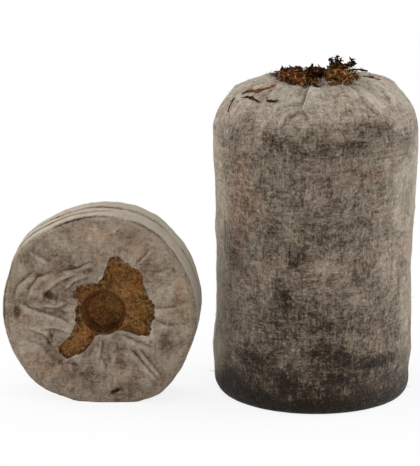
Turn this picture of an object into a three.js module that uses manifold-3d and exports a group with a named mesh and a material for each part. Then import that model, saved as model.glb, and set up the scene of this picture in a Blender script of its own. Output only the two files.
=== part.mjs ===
// A pair of peat pellets for raising seedlings, the same kind before and after watering. The dry pellet is
// a pressed puck of peat in folded fleece and stands on the worn edge of its rim. The swollen pellet has
// taken up water, risen to its full height and stands on its base, with loose peat heaped round its
// planting hole.
//
// Millimetres, +Z up. The origin is the middle of the swollen pellet's base. The dry pellet stands beside
// it at -X, and its open face looks along -Y.
import * as THREE from "three";
import { mergeVertices } from "three/addons/utils/BufferGeometryUtils.js";
import Module from "manifold-3d";

// Fleece, and the gap between pieces that lie against each other
const fleeceThickness = 0.5;
const seatGap = 0.3;

// Swollen pellet: fleece sleeve
const swollenHeight = 68.7; // base to the fleece's open edge
const swollenTopRadius = 21.8;
const swollenLowRadius = 21.5; // at the top of the foot
const footRise = 10; // height of the foot, where the sleeve draws in towards its base
const footRadius = 20.3; // at the bottom of the foot
const baseCornerRadius = 1.6;
const shoulderDrop = 10.5; // open edge down to where the side runs straight
const mouthRadius = 9.2; // the fleece's open top
const baseMouthRadius = 7; // the fleece's open underside
const bulgeDepth = 0.3; // how far the soft side swells and sinks
const bulgeRise = 57; // height from one swelling to the next above it
const bulgeStart = 98; // degrees; puts the waist on the lower third of the -X side
const pleatCount = 12; // folds that draw the sleeve in over the shoulder
const pleatHeight = 0.7; // at the open edge
const seamWidth = 8; // where the sleeve's sheet laps over itself, down the back
const seamStep = 0.4;
const seamEase = 1.2; // width of the slope at each edge of the lap

// Swollen pellet: planting hole in the top of its peat core
const plantingHoleRadius = 4.4;
const plantingFloorRadius = 3.6;
const plantingDepth = 13;

// Dry pellet: folded fleece
const dryRadius = 21.3;
const dryThickness = 13;
const wornDepth = 1.1; // how far the rim is flattened where it stands
const rimWall = 1.7; // folded fleece round the rim, from its outside to its inside
const foldLines = [0.4, 0.64]; // grooves between plies, as shares of the thickness from the back
const foldGroove = 1; // depth of the grooves
const foldRound = 0.3; // how far each ply falls away at its edges, before the groove
const foldEdge = 0.6; // width of the slope at each edge of a ply
const backMouthRadius = 6.5;
const creaseCount = 11; // low folds pressed into each face
const creaseHeight = 0.35;

// Dry pellet: pressed puck, with the dimple in its open face
const puckEdge = 0.8; // chamfer
const dimpleRadius = 4.9;
const dimpleFloorRadius = 3.7;
const dimpleDepth = 4.8;
const dimpleOffset = 0.8; // from the middle of the face, along +X

// The hole torn in the dry pellet's fleece, round its dimple: degrees, and its reach past the dimple
const tear = [
  [-173, 1.6], [-161, 2.6], [-148, 3.4], [-143, 6.9], [-137, 8.5], [-129, 8], [-121, 6.1],
  [-112, 4.5], [-104, 1.6], [-92, 0.6], [-71, 0.6], [-42, 1.4], [-31, 3.7], [-25, 6], [-12, 5.8],
  [14, 5.2], [35, 6.1], [51, 7.3], [72, 7.7], [82, 6.9], [88, 4], [98, 2.5], [119, 2.4], [141, 2.2],
  [172, 1.4],
];

// Where the dry pellet stands
const pairGap = 3.1; // between the two pellets
const dryTurn = -3.5; // degrees about +Z
const dryForward = 5.7; // along -Y

// Loose peat on the swollen pellet, in a ring round the planting hole: the degrees that each clod lies at
// and spans, its height as a share of the heap's, and the stalks of moss that stand out of it
const heapHeight = 3.6;
const clods = [
  { name: "peat_clod_front_left", angle: 218, span: 70, share: 0.9, stalks: 7 },
  { name: "peat_clod_back_left", angle: 146, span: 66, share: 0.67, stalks: 7 },
  { name: "peat_clod_back", angle: 90, span: 38, share: 0.53, stalks: 4 },
  { name: "moss_tuft", angle: 47, span: 38, share: 0.6, stalks: 0 },
  { name: "peat_clod_right", angle: 5, span: 38, share: 0.53, stalks: 3 },
  { name: "peat_clod_front_right", angle: 315, span: 56, share: 1, stalks: 6 },
  { name: "peat_crumb_front", angle: 269, span: 28, share: 0.42, stalks: 0 },
];
const clodSquareness = 0.7; // 1 for an oval clod, less for one that fills the corners of its place
const clodRoughness = 0.2; // share of a clod's half size
const clodFoot = 0.5; // share of its half size at which a clod's underside is flat
const stalkRadius = 0.36;
const stalkLength = 1.5;
const stalkLean = 0.5; // sideways for each unit of rise, at the edge of a clod

// Branches of the moss tuft, fanned out to both sides: degrees from upright, and length
const tuftBranches = [
  { lean: -42, length: 2.6 },
  { lean: -15, length: 3 },
  { lean: 9, length: 2.6 },
  { lean: 62, length: 4.2 },
];

// Bits of root and peat that lie on the swollen pellet's shoulder. Each one follows the fleece through its
// points: degrees round the pellet, and degrees of the shoulder's curve, 0 at the side and 90 at the open
// edge.
const strays = [
  {
    name: "root_fibre",
    radius: 0.5,
    path: [[200.8, 52], [204, 59], [212.8, 63.5], [217.8, 76], [218.8, 82]],
  },
  { name: "peat_flake_left", radius: 0.4, path: [[206.5, 51], [212, 52], [217, 51.4], [225, 49.6]] },
  { name: "peat_flake_front_left", radius: 0.38, path: [[229.7, 53], [234.5, 52.3], [239.5, 52.2]] },
  {
    name: "peat_sliver_left",
    radius: 0.3,
    path: [[202, 28.4], [199, 34.2], [197.5, 40.4], [197.2, 46.4]],
  },
  { name: "peat_flake_back_right", radius: 0.4, path: [[45, 84], [38, 77], [31, 71]] },
  { name: "peat_sliver_right", radius: 0.35, path: [[0.5, 84], [359, 78.8], [356.3, 70.5]] },
];

// Bit of peat on the dry pellet's face
const dryFlakeRadius = 0.35;
const dryFlakePath = [[2.7, -17.6], [3.6, -17.3], [4.5, -16.8]]; // across and up from the face's middle

// Fineness of the faceted surfaces
const aroundSteps = 60;
const flatSteps = 5; // of these, across the dry pellet's flattened edge
const cornerSteps = 4;
const sideSteps = 6;
const shoulderSteps = 6;
const faceSteps = 4;
const clodDetail = 2;
const strandSides = 6;
const strandSteps = 8;

const finishes = {
  dampFleece: { color: 0x857767, roughness: 0.95, metalness: 0 },
  dryFleece: { color: 0x8a7866, roughness: 0.97, metalness: 0 },
  wetPeat: { color: 0x3a2415, roughness: 0.9, metalness: 0 },
  dryPeat: { color: 0x66482c, roughness: 1, metalness: 0 },
  loosePeat: { color: 0x5a3d26, roughness: 1, metalness: 0 },
  root: { color: 0x7a4a33, roughness: 0.8, metalness: 0 },
};

const wasm = await Module();
wasm.setup();

const { degToRad, lerp, smoothstep } = THREE.MathUtils;
const fullTurn = 2 * Math.PI;
const quarterTurn = Math.PI / 2;

const steps = (count) => Array.from({ length: count }, (_, k) => k);

// Closed surface through rows of points, each once round the piece. The last row of a shell joins its
// first. The first and last rows of a solid each lie on one point.
function surfaceThrough(rows, isShell) {
  const points = rows.flat();
  const around = rows[0].length;
  const index = [];
  const coincide = (a, b) => points[a].equals(points[b]);
  function addFace(a, b, c) {
    const hasNoArea = coincide(a, b) || coincide(b, c) || coincide(c, a);
    if (!hasNoArea) index.push(a, b, c);
  }
  const bands = isShell ? rows.length : rows.length - 1;
  for (const i of steps(bands)) {
    const here = i * around;
    const above = ((i + 1) % rows.length) * around;
    for (const j of steps(around)) {
      const beside = (j + 1) % around;
      addFace(here + j, here + beside, above + beside);
      addFace(here + j, above + beside, above + j);
    }
  }
  const geometry = new THREE.BufferGeometry().setFromPoints(points);
  geometry.setIndex(index);
  return geometry;
}

function withSharedVertices(geometry) {
  const bare = geometry.clone();
  bare.deleteAttribute("normal");
  bare.deleteAttribute("uv");
  return mergeVertices(bare);
}

function toSolid(geometry) {
  const merged = withSharedVertices(geometry);
  const mesh = new wasm.Mesh({
    numProp: 3,
    vertProperties: merged.attributes.position.array,
    triVerts: new Uint32Array(merged.index.array),
  });
  return new wasm.Manifold(mesh);
}

function toGeometry(solid) {
  const mesh = solid.getMesh();
  const geometry = new THREE.BufferGeometry();
  geometry.setAttribute("position", new THREE.BufferAttribute(mesh.vertProperties, 3));
  geometry.setIndex(new THREE.BufferAttribute(mesh.triVerts, 1));
  return geometry;
}

function joined(geometries) {
  const [first, ...others] = geometries.map(toSolid);
  return toGeometry(others.reduce((whole, piece) => whole.add(piece), first));
}

function atAngle(angle, radius, z) {
  return new THREE.Vector3(radius * Math.cos(angle), radius * Math.sin(angle), z);
}

// Thin strand along a smooth curve
function strand(points, radius) {
  const section = new THREE.Shape(
    steps(strandSides).map((k) => {
      const angle = (k / strandSides) * fullTurn;
      return new THREE.Vector2(radius * Math.cos(angle), radius * Math.sin(angle));
    }),
  );
  const path = new THREE.CatmullRomCurve3(points);
  return new THREE.ExtrudeGeometry(section, { steps: strandSteps, extrudePath: path, bevelEnabled: false });
}

// Swollen pellet

// Profile of the swollen pellet's outside. Each station has its radius, height, outward direction and the
// share of the shoulder that lies below it.
const sideTop = swollenHeight - shoulderDrop;

function shoulderStation(turn) {
  const width = swollenTopRadius - mouthRadius;
  return {
    radius: mouthRadius + width * Math.cos(turn),
    z: sideTop + shoulderDrop * Math.sin(turn),
    out: new THREE.Vector2(shoulderDrop * Math.cos(turn), width * Math.sin(turn)).normalize(),
    shoulderShare: turn / quarterTurn,
  };
}

function swollenProfile() {
  const cornerCentre = footRadius - baseCornerRadius;
  const corner = steps(cornerSteps + 1).map((k) => {
    const turn = (k / cornerSteps - 1) * quarterTurn;
    const out = new THREE.Vector2(Math.cos(turn), Math.sin(turn));
    const radius = cornerCentre + baseCornerRadius * out.x;
    return { radius, z: baseCornerRadius * (1 + out.y), out, shoulderShare: 0 };
  });
  const side = steps(sideSteps).map((k) => {
    const share = k / sideSteps;
    const radius = lerp(swollenLowRadius, swollenTopRadius, share);
    const z = lerp(footRise, sideTop, share);
    return { radius, z, out: new THREE.Vector2(1, 0), shoulderShare: 0 };
  });
  const shoulderTurn = quarterTurn / shoulderSteps;
  const shoulder = steps(shoulderSteps + 1).map((k) => shoulderStation(k * shoulderTurn));
  const baseEdge = { radius: baseMouthRadius, z: 0, out: new THREE.Vector2(0, -1), shoulderShare: 0 };
  return [baseEdge, ...corner, ...side, ...shoulder];
}

function bulge(angle, z) {
  const fade = smoothstep(z, 0, footRise) * (1 - smoothstep(z, sideTop, swollenHeight));
  return bulgeDepth * fade * Math.sin(2 * angle + (z / bulgeRise) * fullTurn + degToRad(bulgeStart));
}

function pleat(angle, shoulderShare) {
  const ridge = 0.5 + 0.5 * Math.cos(pleatCount * angle);
  return pleatHeight * shoulderShare ** 2 * ridge ** 2;
}

function seamRise(angle, radius) {
  const fromSeam = radius * Math.abs(angle - quarterTurn);
  return seamStep * (1 - smoothstep(fromSeam, seamWidth / 2 - seamEase, seamWidth / 2));
}

// A point of the swollen pellet at a station of its profile, moved outwards by rise
function swollenPoint(station, angle, rise) {
  const radius = station.radius + rise * station.out.x + bulge(angle, station.z);
  return atAngle(angle, radius, station.z + rise * station.out.y);
}

function swollenRow(station, riseAt) {
  return steps(aroundSteps).map((k) => {
    const angle = (k / aroundSteps) * fullTurn;
    return swollenPoint(station, angle, riseAt(angle));
  });
}

function swollenFleece() {
  const profile = swollenProfile();
  const outer = profile.map((station) => {
    const isOnSide = station.z > baseCornerRadius;
    return swollenRow(station, (angle) => {
      const lap = isOnSide ? seamRise(angle, station.radius) : 0;
      return pleat(angle, station.shoulderShare) + lap;
    });
  });
  const inner = profile.map((station) =>
    swollenRow(station, (angle) => pleat(angle, station.shoulderShare) - fleeceThickness),
  );
  return surfaceThrough([...outer, ...inner.reverse()], true);
}

const coreInset = fleeceThickness + seatGap;
const bedHeight = swollenHeight - coreInset; // top of the peat core, in the fleece's mouth

// Peat core. Its foot fills the fleece's open underside, and its top has the planting hole.
function peatCore() {
  const angles = steps(aroundSteps).map((k) => (k / aroundSteps) * fullTurn);
  const ring = (radius, z) => angles.map((angle) => atAngle(angle, radius, z));
  const openRadius = baseMouthRadius - seatGap;
  const side = swollenProfile().slice(1).map((station) => swollenRow(station, () => -coreInset));
  const holeFloor = bedHeight - plantingDepth;
  return surfaceThrough(
    [
      ring(0, 0),
      ring(openRadius, 0),
      ring(openRadius, coreInset),
      ...side,
      ring(plantingHoleRadius, bedHeight),
      ring(plantingFloorRadius, holeFloor),
      ring(0, holeFloor),
    ],
    false,
  );
}

// Loose peat

const ringOuter = mouthRadius - seatGap;
const ringMiddle = (plantingHoleRadius + ringOuter) / 2;
const ringHalfDepth = (ringOuter - plantingHoleRadius) / 2;

// Place within a clod: outwards across the ring, along it and upwards, each from -1 to 1
function inClod(clod, across, along, up) {
  const angle = degToRad(clod.angle + (along * clod.span) / 2);
  const lift = Math.max(0, (up + clodFoot) / (1 + clodFoot));
  const z = bedHeight + seatGap + clod.share * heapHeight * lift;
  return atAngle(angle, ringMiddle + across * ringHalfDepth, z);
}

// Rough lump with a flat underside
function lump(clod) {
  const ball = withSharedVertices(new THREE.IcosahedronGeometry(1, clodDetail));
  const position = ball.attributes.position;
  const squared = (x) => Math.sign(x) * Math.abs(x) ** clodSquareness;
  for (const k of steps(position.count)) {
    const { x, y, z } = new THREE.Vector3().fromBufferAttribute(position, k);
    const across = Math.sin(5 * x + clod.angle) * Math.sin(4 * y - clod.angle);
    const hollow = across * Math.cos(6 * z + clod.span);
    const reach = 1 - clodRoughness * (0.5 + 0.5 * hollow);
    const point = inClod(clod, squared(x) * reach, squared(y) * reach, squared(z) * reach);
    position.setXYZ(k, point.x, point.y, point.z);
  }
  return ball;
}

// Thin tapering stalk, rooted at foot
function stalk(foot, direction, length) {
  const cone = new THREE.ConeGeometry(stalkRadius, length, strandSides);
  cone.translate(0, length / 2, 0);
  const turn = new THREE.Quaternion().setFromUnitVectors(new THREE.Vector3(0, 1, 0), direction);
  cone.applyQuaternion(turn);
  cone.translate(foot.x, foot.y, foot.z);
  return cone;
}

// Stalks spread over a clod, each a golden turn on from the last and leaning outwards
function clodStalks(clod) {
  const goldenTurn = degToRad(137.5);
  const innermost = 0.25; // share of the clod's half size
  const outermost = 0.6;
  const footHeight = 0.45;
  return steps(clod.stalks).map((k) => {
    const reach = lerp(innermost, outermost, k / clod.stalks);
    const across = reach * Math.cos(k * goldenTurn);
    const along = reach * Math.sin(k * goldenTurn);
    const angle = degToRad(clod.angle);
    const lean = new THREE.Vector3(across * stalkLean, along * stalkLean, 1);
    lean.applyAxisAngle(new THREE.Vector3(0, 0, 1), angle).normalize();
    return stalk(inClod(clod, across, along, footHeight), lean, stalkLength);
  });
}

function tuftStalks(clod) {
  const footHeight = 0.5; // share of the clod's half size
  const foot = inClod(clod, 0, 0, footHeight);
  return tuftBranches.map((branch) => {
    const lean = degToRad(branch.lean);
    const direction = new THREE.Vector3(Math.sin(lean), 0, Math.cos(lean));
    return stalk(foot, direction, branch.length);
  });
}

function clodShape(clod) {
  const branches = clod.name === "moss_tuft" ? tuftStalks(clod) : clodStalks(clod);
  return joined([lump(clod), ...branches]);
}

function strayShape(stray) {
  const points = stray.path.map(([aroundDegrees, shoulderDegrees]) => {
    const angle = degToRad(aroundDegrees);
    const station = shoulderStation(degToRad(shoulderDegrees));
    const rise = pleat(angle, station.shoulderShare) + seatGap + stray.radius;
    return swollenPoint(station, angle, rise);
  });
  return strand(points, stray.radius);
}

// Dry pellet, modelled lying down with its open face up

const flatDistance = dryRadius - wornDepth; // from its middle to the flattened edge
const flatHalfAngle = Math.acos(flatDistance / dryRadius);
const halfThickness = dryThickness / 2;

// Angles once round the dry pellet: evenly round its arc, then across its flattened edge at -Y
function dryAngles() {
  const arcSteps = aroundSteps - flatSteps;
  const arcStart = flatHalfAngle - quarterTurn;
  const arcTurn = fullTurn - 2 * flatHalfAngle;
  const arc = steps(arcSteps).map((k) => arcStart + (k / arcSteps) * arcTurn);
  const flat = steps(flatSteps).map((k) => arcStart - (1 - k / flatSteps) * 2 * flatHalfAngle + fullTurn);
  return [...arc, ...flat];
}

// Distance from the middle to an arc of the given radius that is cut off by a flat at -Y
function dryReach(angle, arcRadius, toFlat) {
  const down = -Math.sin(angle);
  return down > 0 ? Math.min(arcRadius, toFlat / down) : arcRadius;
}

function dryRow(arcRadius, toFlat, z) {
  return dryAngles().map((angle) => atAngle(angle, dryReach(angle, arcRadius, toFlat), z));
}

function ringAbout(centreX, radiusAt, z) {
  const centre = new THREE.Vector3(centreX, 0, 0);
  return dryAngles().map((angle) => atAngle(angle, radiusAt(angle), z).add(centre));
}

// How far the torn hole reaches from the dimple's middle
function tearReach(angle) {
  const degrees = THREE.MathUtils.euclideanModulo(THREE.MathUtils.radToDeg(angle) + 180, 360) - 180;
  const [firstDegrees, firstPast] = tear[0];
  const closed = [...tear, [firstDegrees + 360, firstPast]];
  const isBefore = degrees < firstDegrees;
  const wanted = isBefore ? degrees + 360 : degrees;
  const next = closed.findIndex(([end]) => end >= wanted && end > firstDegrees);
  const [fromDegrees, fromPast] = closed[next - 1];
  const [toDegrees, toPast] = closed[next];
  return dimpleRadius + lerp(fromPast, toPast, smoothstep(wanted, fromDegrees, toDegrees));
}

// Rows across one face of the fleece, from its rim to its mouth, with low creases that run out at both
function creasedFace(rim, mouth, side) {
  return steps(faceSteps + 1).map((i) => {
    const share = i / faceSteps;
    return rim.map((rimPoint, k) => {
      const point = rimPoint.clone().lerp(mouth[k], share);
      const angle = (k / rim.length) * fullTurn;
      const ridge = Math.sin(creaseCount * angle + 3 * share) * Math.sin(2 * angle + share);
      point.z += side * creaseHeight * Math.sin(share * Math.PI) * ridge ** 2;
      return point;
    });
  });
}

// Plies round the rim, from the back to the open face, with a groove between each ply and the next
function rimRows() {
  const row = (inset, z) => dryRow(dryRadius - inset, flatDistance, z);
  const edges = [0, ...foldLines, 1].map((share) => share * dryThickness - halfThickness);
  return edges.slice(1).flatMap((end, k) => {
    const start = edges[k];
    const ply = [
      row(foldRound, start + foldEdge / 2),
      row(0, start + foldEdge),
      row(0, end - foldEdge),
      row(foldRound, end - foldEdge / 2),
    ];
    const isLast = k === foldLines.length;
    return isLast ? ply : [...ply, row(foldGroove, end)];
  });
}

function dryFleece() {
  const innerHalf = halfThickness - fleeceThickness;
  const faceEdge = (z) => dryRow(dryRadius - foldGroove, flatDistance - foldRound, z);
  const wall = (z) => dryRow(dryRadius - rimWall, flatDistance - rimWall, z);
  const backMouth = (z) => ringAbout(0, () => backMouthRadius, z);
  const tornMouth = (z) => ringAbout(dimpleOffset, tearReach, z);
  return surfaceThrough(
    [
      ...creasedFace(faceEdge(-halfThickness), backMouth(-halfThickness), -1).reverse(),
      ...rimRows(),
      ...creasedFace(faceEdge(halfThickness), tornMouth(halfThickness), 1),
      tornMouth(innerHalf),
      wall(innerHalf),
      wall(-innerHalf),
      backMouth(-innerHalf),
    ],
    true,
  );
}

function puck() {
  const half = halfThickness - fleeceThickness - seatGap;
  const inset = rimWall + seatGap;
  const row = (chamfer, z) => dryRow(dryRadius - inset - chamfer, flatDistance - inset - chamfer, z);
  const dimpleFloor = half - dimpleDepth;
  return surfaceThrough(
    [
      ringAbout(0, () => 0, -half),
      row(puckEdge, -half),
      row(0, puckEdge - half),
      row(0, half - puckEdge),
      row(puckEdge, half),
      ringAbout(dimpleOffset, () => dimpleRadius, half),
      ringAbout(dimpleOffset, () => dimpleFloorRadius, dimpleFloor),
      ringAbout(dimpleOffset, () => 0, dimpleFloor),
    ],
    false,
  );
}

function dryFlake() {
  const z = halfThickness + creaseHeight + seatGap + dryFlakeRadius;
  return strand(dryFlakePath.map(([x, y]) => new THREE.Vector3(x, y, z)), dryFlakeRadius);
}

// Assembly

function piece(name, geometry, finish) {
  const mesh = new THREE.Mesh(geometry, new THREE.MeshStandardMaterial(finish));
  mesh.name = name;
  return mesh;
}

const swollenPellet = new THREE.Group();
swollenPellet.add(piece("swollen_fleece", swollenFleece(), finishes.dampFleece));
swollenPellet.add(piece("peat_core", peatCore(), finishes.wetPeat));
for (const clod of clods) {
  swollenPellet.add(piece(clod.name, clodShape(clod), finishes.loosePeat));
}
for (const stray of strays) {
  const finish = stray.name === "root_fibre" ? finishes.root : finishes.loosePeat;
  swollenPellet.add(piece(stray.name, strayShape(stray), finish));
}

const dryPellet = new THREE.Group();
dryPellet.add(piece("dry_fleece", dryFleece(), finishes.dryFleece));
dryPellet.add(piece("peat_puck", puck(), finishes.dryPeat));
dryPellet.add(piece("dry_peat_flake", dryFlake(), finishes.loosePeat));
const dryX = -(swollenTopRadius + pairGap + dryRadius);
dryPellet.rotation.set(quarterTurn, 0, degToRad(dryTurn), "ZXY");
dryPellet.position.set(dryX, -dryForward, flatDistance);

const peatPellets = new THREE.Group();
peatPellets.add(swollenPellet, dryPellet);

export default peatPellets;
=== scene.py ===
# Looks of a pair of peat pellets, one dry and pressed, one swollen with water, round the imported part.
# Metres, +Z up. The origin is the middle of the swollen pellet's base. Shapes are worked out in millimetres.
import math

import bmesh
import bpy
import numpy as np
from mathutils import Matrix, Vector


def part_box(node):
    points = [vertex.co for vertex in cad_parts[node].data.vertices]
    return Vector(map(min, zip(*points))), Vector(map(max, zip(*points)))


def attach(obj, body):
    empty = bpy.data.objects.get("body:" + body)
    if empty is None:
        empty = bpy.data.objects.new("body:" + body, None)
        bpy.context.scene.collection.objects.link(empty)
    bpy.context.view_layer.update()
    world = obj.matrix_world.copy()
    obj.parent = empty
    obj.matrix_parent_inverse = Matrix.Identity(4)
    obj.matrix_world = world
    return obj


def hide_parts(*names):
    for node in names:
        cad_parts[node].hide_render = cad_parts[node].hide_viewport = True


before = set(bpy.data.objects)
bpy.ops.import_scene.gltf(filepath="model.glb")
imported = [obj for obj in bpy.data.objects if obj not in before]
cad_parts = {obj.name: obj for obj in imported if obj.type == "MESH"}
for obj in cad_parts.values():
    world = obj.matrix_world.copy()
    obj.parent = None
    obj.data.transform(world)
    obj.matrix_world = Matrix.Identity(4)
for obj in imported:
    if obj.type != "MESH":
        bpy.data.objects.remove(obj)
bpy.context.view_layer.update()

full_turn = 2 * math.pi
mm = 0.001

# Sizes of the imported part, in millimetres
fleece_gap = 0.3
cad_fleece_thickness = 0.5
swollen_height = 68.7
swollen_top_radius = 21.8
swollen_low_radius = 21.5
foot_rise = 10
foot_radius = 20.3
base_corner_radius = 1.6
shoulder_drop = 10.5
mouth_radius = 9.2
base_mouth_radius = 7
bulge_depth = 0.3
bulge_rise = 57
bulge_start = math.radians(98)
pleat_count = 12
pleat_height = 0.7
seam_width = 8
planting_hole_radius = 4.4
planting_floor_radius = 3.6
planting_depth = 13
heap_height = 3.6
dry_radius = 21.3
dry_half = 6.5
worn_depth = 1.1
rim_wall = 1.7
back_mouth_radius = 6.5
dimple_radius = 4.9
dimple_floor_radius = 3.7
dimple_depth = 4.8
dimple_offset = 0.8
pair_gap = 3.1
dry_turn = -3.5
dry_forward = 5.7

side_top = swollen_height - shoulder_drop
shoulder_width = swollen_top_radius - mouth_radius
core_inset = cad_fleece_thickness + fleece_gap
bed_height = swollen_height - core_inset
flat_distance = dry_radius - worn_depth
dry_x = -(swollen_top_radius + pair_gap + dry_radius)
dry_place = (
    Matrix.Translation(Vector((dry_x, -dry_forward, flat_distance)) * mm)
    @ Matrix.Rotation(math.radians(dry_turn), 4, "Z")
    @ Matrix.Rotation(math.pi / 2, 4, "X")
)

fleece_thickness = 0.3  # as it shows at its torn edges

# The hole torn in the dry pellet's fleece: degrees, and its reach past the dimple
tear = [
    (-172, 1.3), (-160, 1.6), (-151, 2.7), (-145, 4.2), (-140.5, 8.7), (-136, 8.9), (-129, 8.5),
    (-121, 6.6), (-116, 5.2), (-112, 3.2), (-108, 0.8), (-98, 0.2), (-60, 0.2), (-45, 0.8), (-38, 2),
    (-32, 4.3), (-26, 6.3), (-14, 6.2), (0, 6.7), (10, 6.2), (20, 5.7), (32, 6.1), (46, 7.7), (62, 7.9),
    (74, 8.2), (82, 7.9), (86, 5.4), (91, 3.4), (100, 2.2), (117, 2.9), (128, 3.3), (146, 3), (156, 1.3),
    (176, 1.5),
]

# Folds drawn in over the swollen pellet's shoulder: degrees round it and millimetres below the open edge,
# then the fold's height and the width that it falls away over
shoulder_folds = [
    ([(-99, -0.5), (-100.2, 4.7), (-100.2, 7.3), (-102, 9.7)], 0.715, 1.5),
    ([(-102, 9.5), (-106, 10.7), (-110, 11.9), (-112.5, 13.9), (-112.8, 15.4)], -0.65, 0.6),
    ([(-97, 12.4), (-99, 10.9), (-102, 9.6)], -0.585, 0.5),
    ([(-120.5, 10.8), (-116, 9.3), (-109.2, 8.2), (-100.6, 7.3)], 0.416, 1.6),
    ([(-45.5, 0.5), (-53.8, 5.6), (-56.5, 8.8), (-53.2, 10.8), (-48.5, 12.6)], 0.65, 1.8),
    ([(-14, 0), (-27.8, 5.7), (-36, 10.4)], 0.585, 2.2),
    ([(-68.5, 4.4), (-78, 6.9), (-87.5, 7.4), (-98.3, 5.3)], 0.364, 1.4),
    ([(-158, 0), (-160, 4), (-164, 8.5)], 0.52, 1.8),
    ([(-132, 0), (-136, 3), (-134, 6.5)], 0.455, 1.6),
    ([(16, 0), (12, 5), (15, 11)], 0.65, 2),
    ([(48, 0), (54, 4), (50, 10), (53, 14)], 0.65, 1.8),
    ([(97, 0), (94, 6), (97, 13)], 0.585, 2),
    ([(128, 0), (133, 5), (130, 11)], 0.715, 1.8),
    ([(165, 0), (161, 6), (164, 12)], 0.585, 1.6),
]

# Places where the sleeve is fuller: degrees round it and millimetres below the open edge, half its width in
# degrees and half its height, then the rise
fuller_places = [
    (38, 6, 50, 4.5, 0.9), (150, 5.5, 26, 4, -0.1), (-172, 8, 20, 4, 0.2), (-40, 9, 22, 5, 0.3),
    (178, 70, 34, 7, 0.8), (-90, 75, 95, 3.5, 0.45),
]

# Where the fleece turns dry and pale: degrees round the swollen pellet, and the height in millimetres
pale_from = [
    (-180, 59.8), (-165, 59.6), (-142.5, 62), (-121.8, 62.1), (-107, 61.1), (-97, 62.1), (-89.2, 63.1),
    (-81, 63.4), (-73, 63), (-63.8, 63.3), (-48.5, 63.3), (-40.5, 60.1), (-23, 60.2), (20, 61.6),
    (55, 60.2), (85, 62.8), (110, 60.6), (145, 62.2), (180, 59.8),
]

# How well the fleece covers the wet peat at each height, from the soaked foot up. The darkest steps at the
# foot are partly soaked peat and partly painted shade under the foot.
cover_and_foot_shade_at = [
    (-1, -0.8), (0.6, -0.68), (2.2, -0.28), (4.5, 0.06), (8, 0.24), (12, 0.31), (22, 0.4), (37, 0.47),
    (60, 0.5),
]

# Wet peat that shows through the swollen pellet's fleece: degrees, height, half its width and half its height
# in millimetres, and how dark it is. Less than nothing is a pale place.
wet_places = [
    (-103, 34.6, 2.6, 3.2, 0.5), (-146, 32.2, 2.4, 2.6, 0.45), (-111.5, 26.2, 2.2, 3.4, 0.55),
    (-113.5, 20.2, 1.1, 1, 0.6), (-81, 13.2, 4.2, 2.6, 0.5), (-53.5, 11, 4.6, 1.6, 0.75),
    (-131, 11.4, 4.4, 1.6, 0.5), (-149, 5.8, 3, 3, 0.5), (-86, 20.2, 2.4, 2, 0.4), (-76, 7.8, 4, 2, 0.3),
    (-61, 22.2, 2.4, 3, 0.2), (-88, 57.2, 7, 1.8, 0.25), (-112, 59.2, 5, 1.4, 0.3),
    (-72, 58.8, 3.4, 1, 0.3), (-58, 61.8, 4, 1.2, 0.26), (-62, 52.2, 3, 1.4, 0.25),
    (-104, 49.2, 1.4, 5, 0.2), (-118, 39.2, 3, 3.4, 0.2), (-100, 43.2, 2, 2, 0.2),
    (-137, 62.8, 3.6, 2.4, 0.3), (-82, 32.7, 3.6, 2.2, -0.35), (-90, 47.2, 3, 2, -0.18),
    (-45, 31.2, 4, 6, -0.3), (-35, 46.2, 4, 9, -0.35), (-70, 39.2, 3, 2, -0.2), (-46, 55.2, 4, 4, -0.15),
    # The pale places at -172 and -164 degrees are painted light on the left edge, where the dry pellet casts
    # its shadow.
    (-120, 7.2, 3, 2, -0.2), (-172, 17, 5, 15, -0.4), (-164, 8, 5, 4, -0.3), (-160, 24.2, 3, 14, -0.3),
    (-141, 35, 6, 6, 0.28), (-143, 51, 6, 6, 0.16), (-143, 21.5, 5, 6, -0.16), (-92, 21, 8, 5, 0.16),
    (-155, 49.2, 3, 9, -0.2), (-28, 19.2, 3, 12, -0.25), (-66, 16.2, 3, 2.4, -0.2),
    (-99, 16.8, 2.4, 2, -0.15), (20, 39.2, 5, 6, 0.35), (55, 21.2, 7, 5, 0.45), (95, 46.2, 6, 7, 0.3),
    (140, 29.2, 7, 6, 0.4), (170, 51.2, 5, 5, 0.3), (75, 9.2, 8, 3, 0.5), (150, 8.2, 6, 3, 0.5),
    (5, 11.2, 5, 3, 0.45), (120, 55.2, 7, 3, 0.3), (35, 56.2, 6, 2.4, 0.35),
]

# Tinges in the swollen pellet's fleece, laid out like the wet places
rusty_places = [
    (-140, 52.2, 3.4, 5, 0.8), (-140, 42.2, 3.6, 5, 0.9), (-127, 46.2, 3.4, 4, 0.6),
    (-142, 35.2, 3, 4, 0.7), (-62, 52.2, 3.2, 1.6, 0.9), (-33, 33.2, 3, 4, 0.7), (-124, 30.2, 3, 3, 0.5),
    (-138, 19.2, 3, 3, 0.4), (30, 44.2, 6, 6, 0.6), (110, 33.2, 7, 8, 0.6), (165, 19.2, 6, 6, 0.5),
    (62, 51.2, 5, 4, 0.5),
]
plum_places = [
    (-100, 56.2, 4, 3, 0.8), (-89, 52.2, 5, 4, 0.8), (-93, 47.2, 5, 4, 0.6), (-104, 14.2, 2.6, 2, 0.7),
    (-75, 27.2, 6, 5, 0.4), (70, 37.2, 6, 6, 0.6), (150, 43.2, 6, 6, 0.6), (0, 26.2, 6, 6, 0.5),
]
greenish_places = [
    (-93, 24.2, 3.6, 2, 0.9), (-78, 59.2, 2.6, 1, 0.8), (-118, 37.7, 5, 2.4, 0.7), (-40, 48.2, 5, 6, 0.6),
    (-96, 39.2, 5, 2, 0.4), (-30, 21.2, 2.6, 9, 0.6), (-70, 18.2, 3, 3, 0.4), (45, 29.2, 6, 6, 0.5),
    (130, 19.2, 6, 6, 0.5),
]

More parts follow.
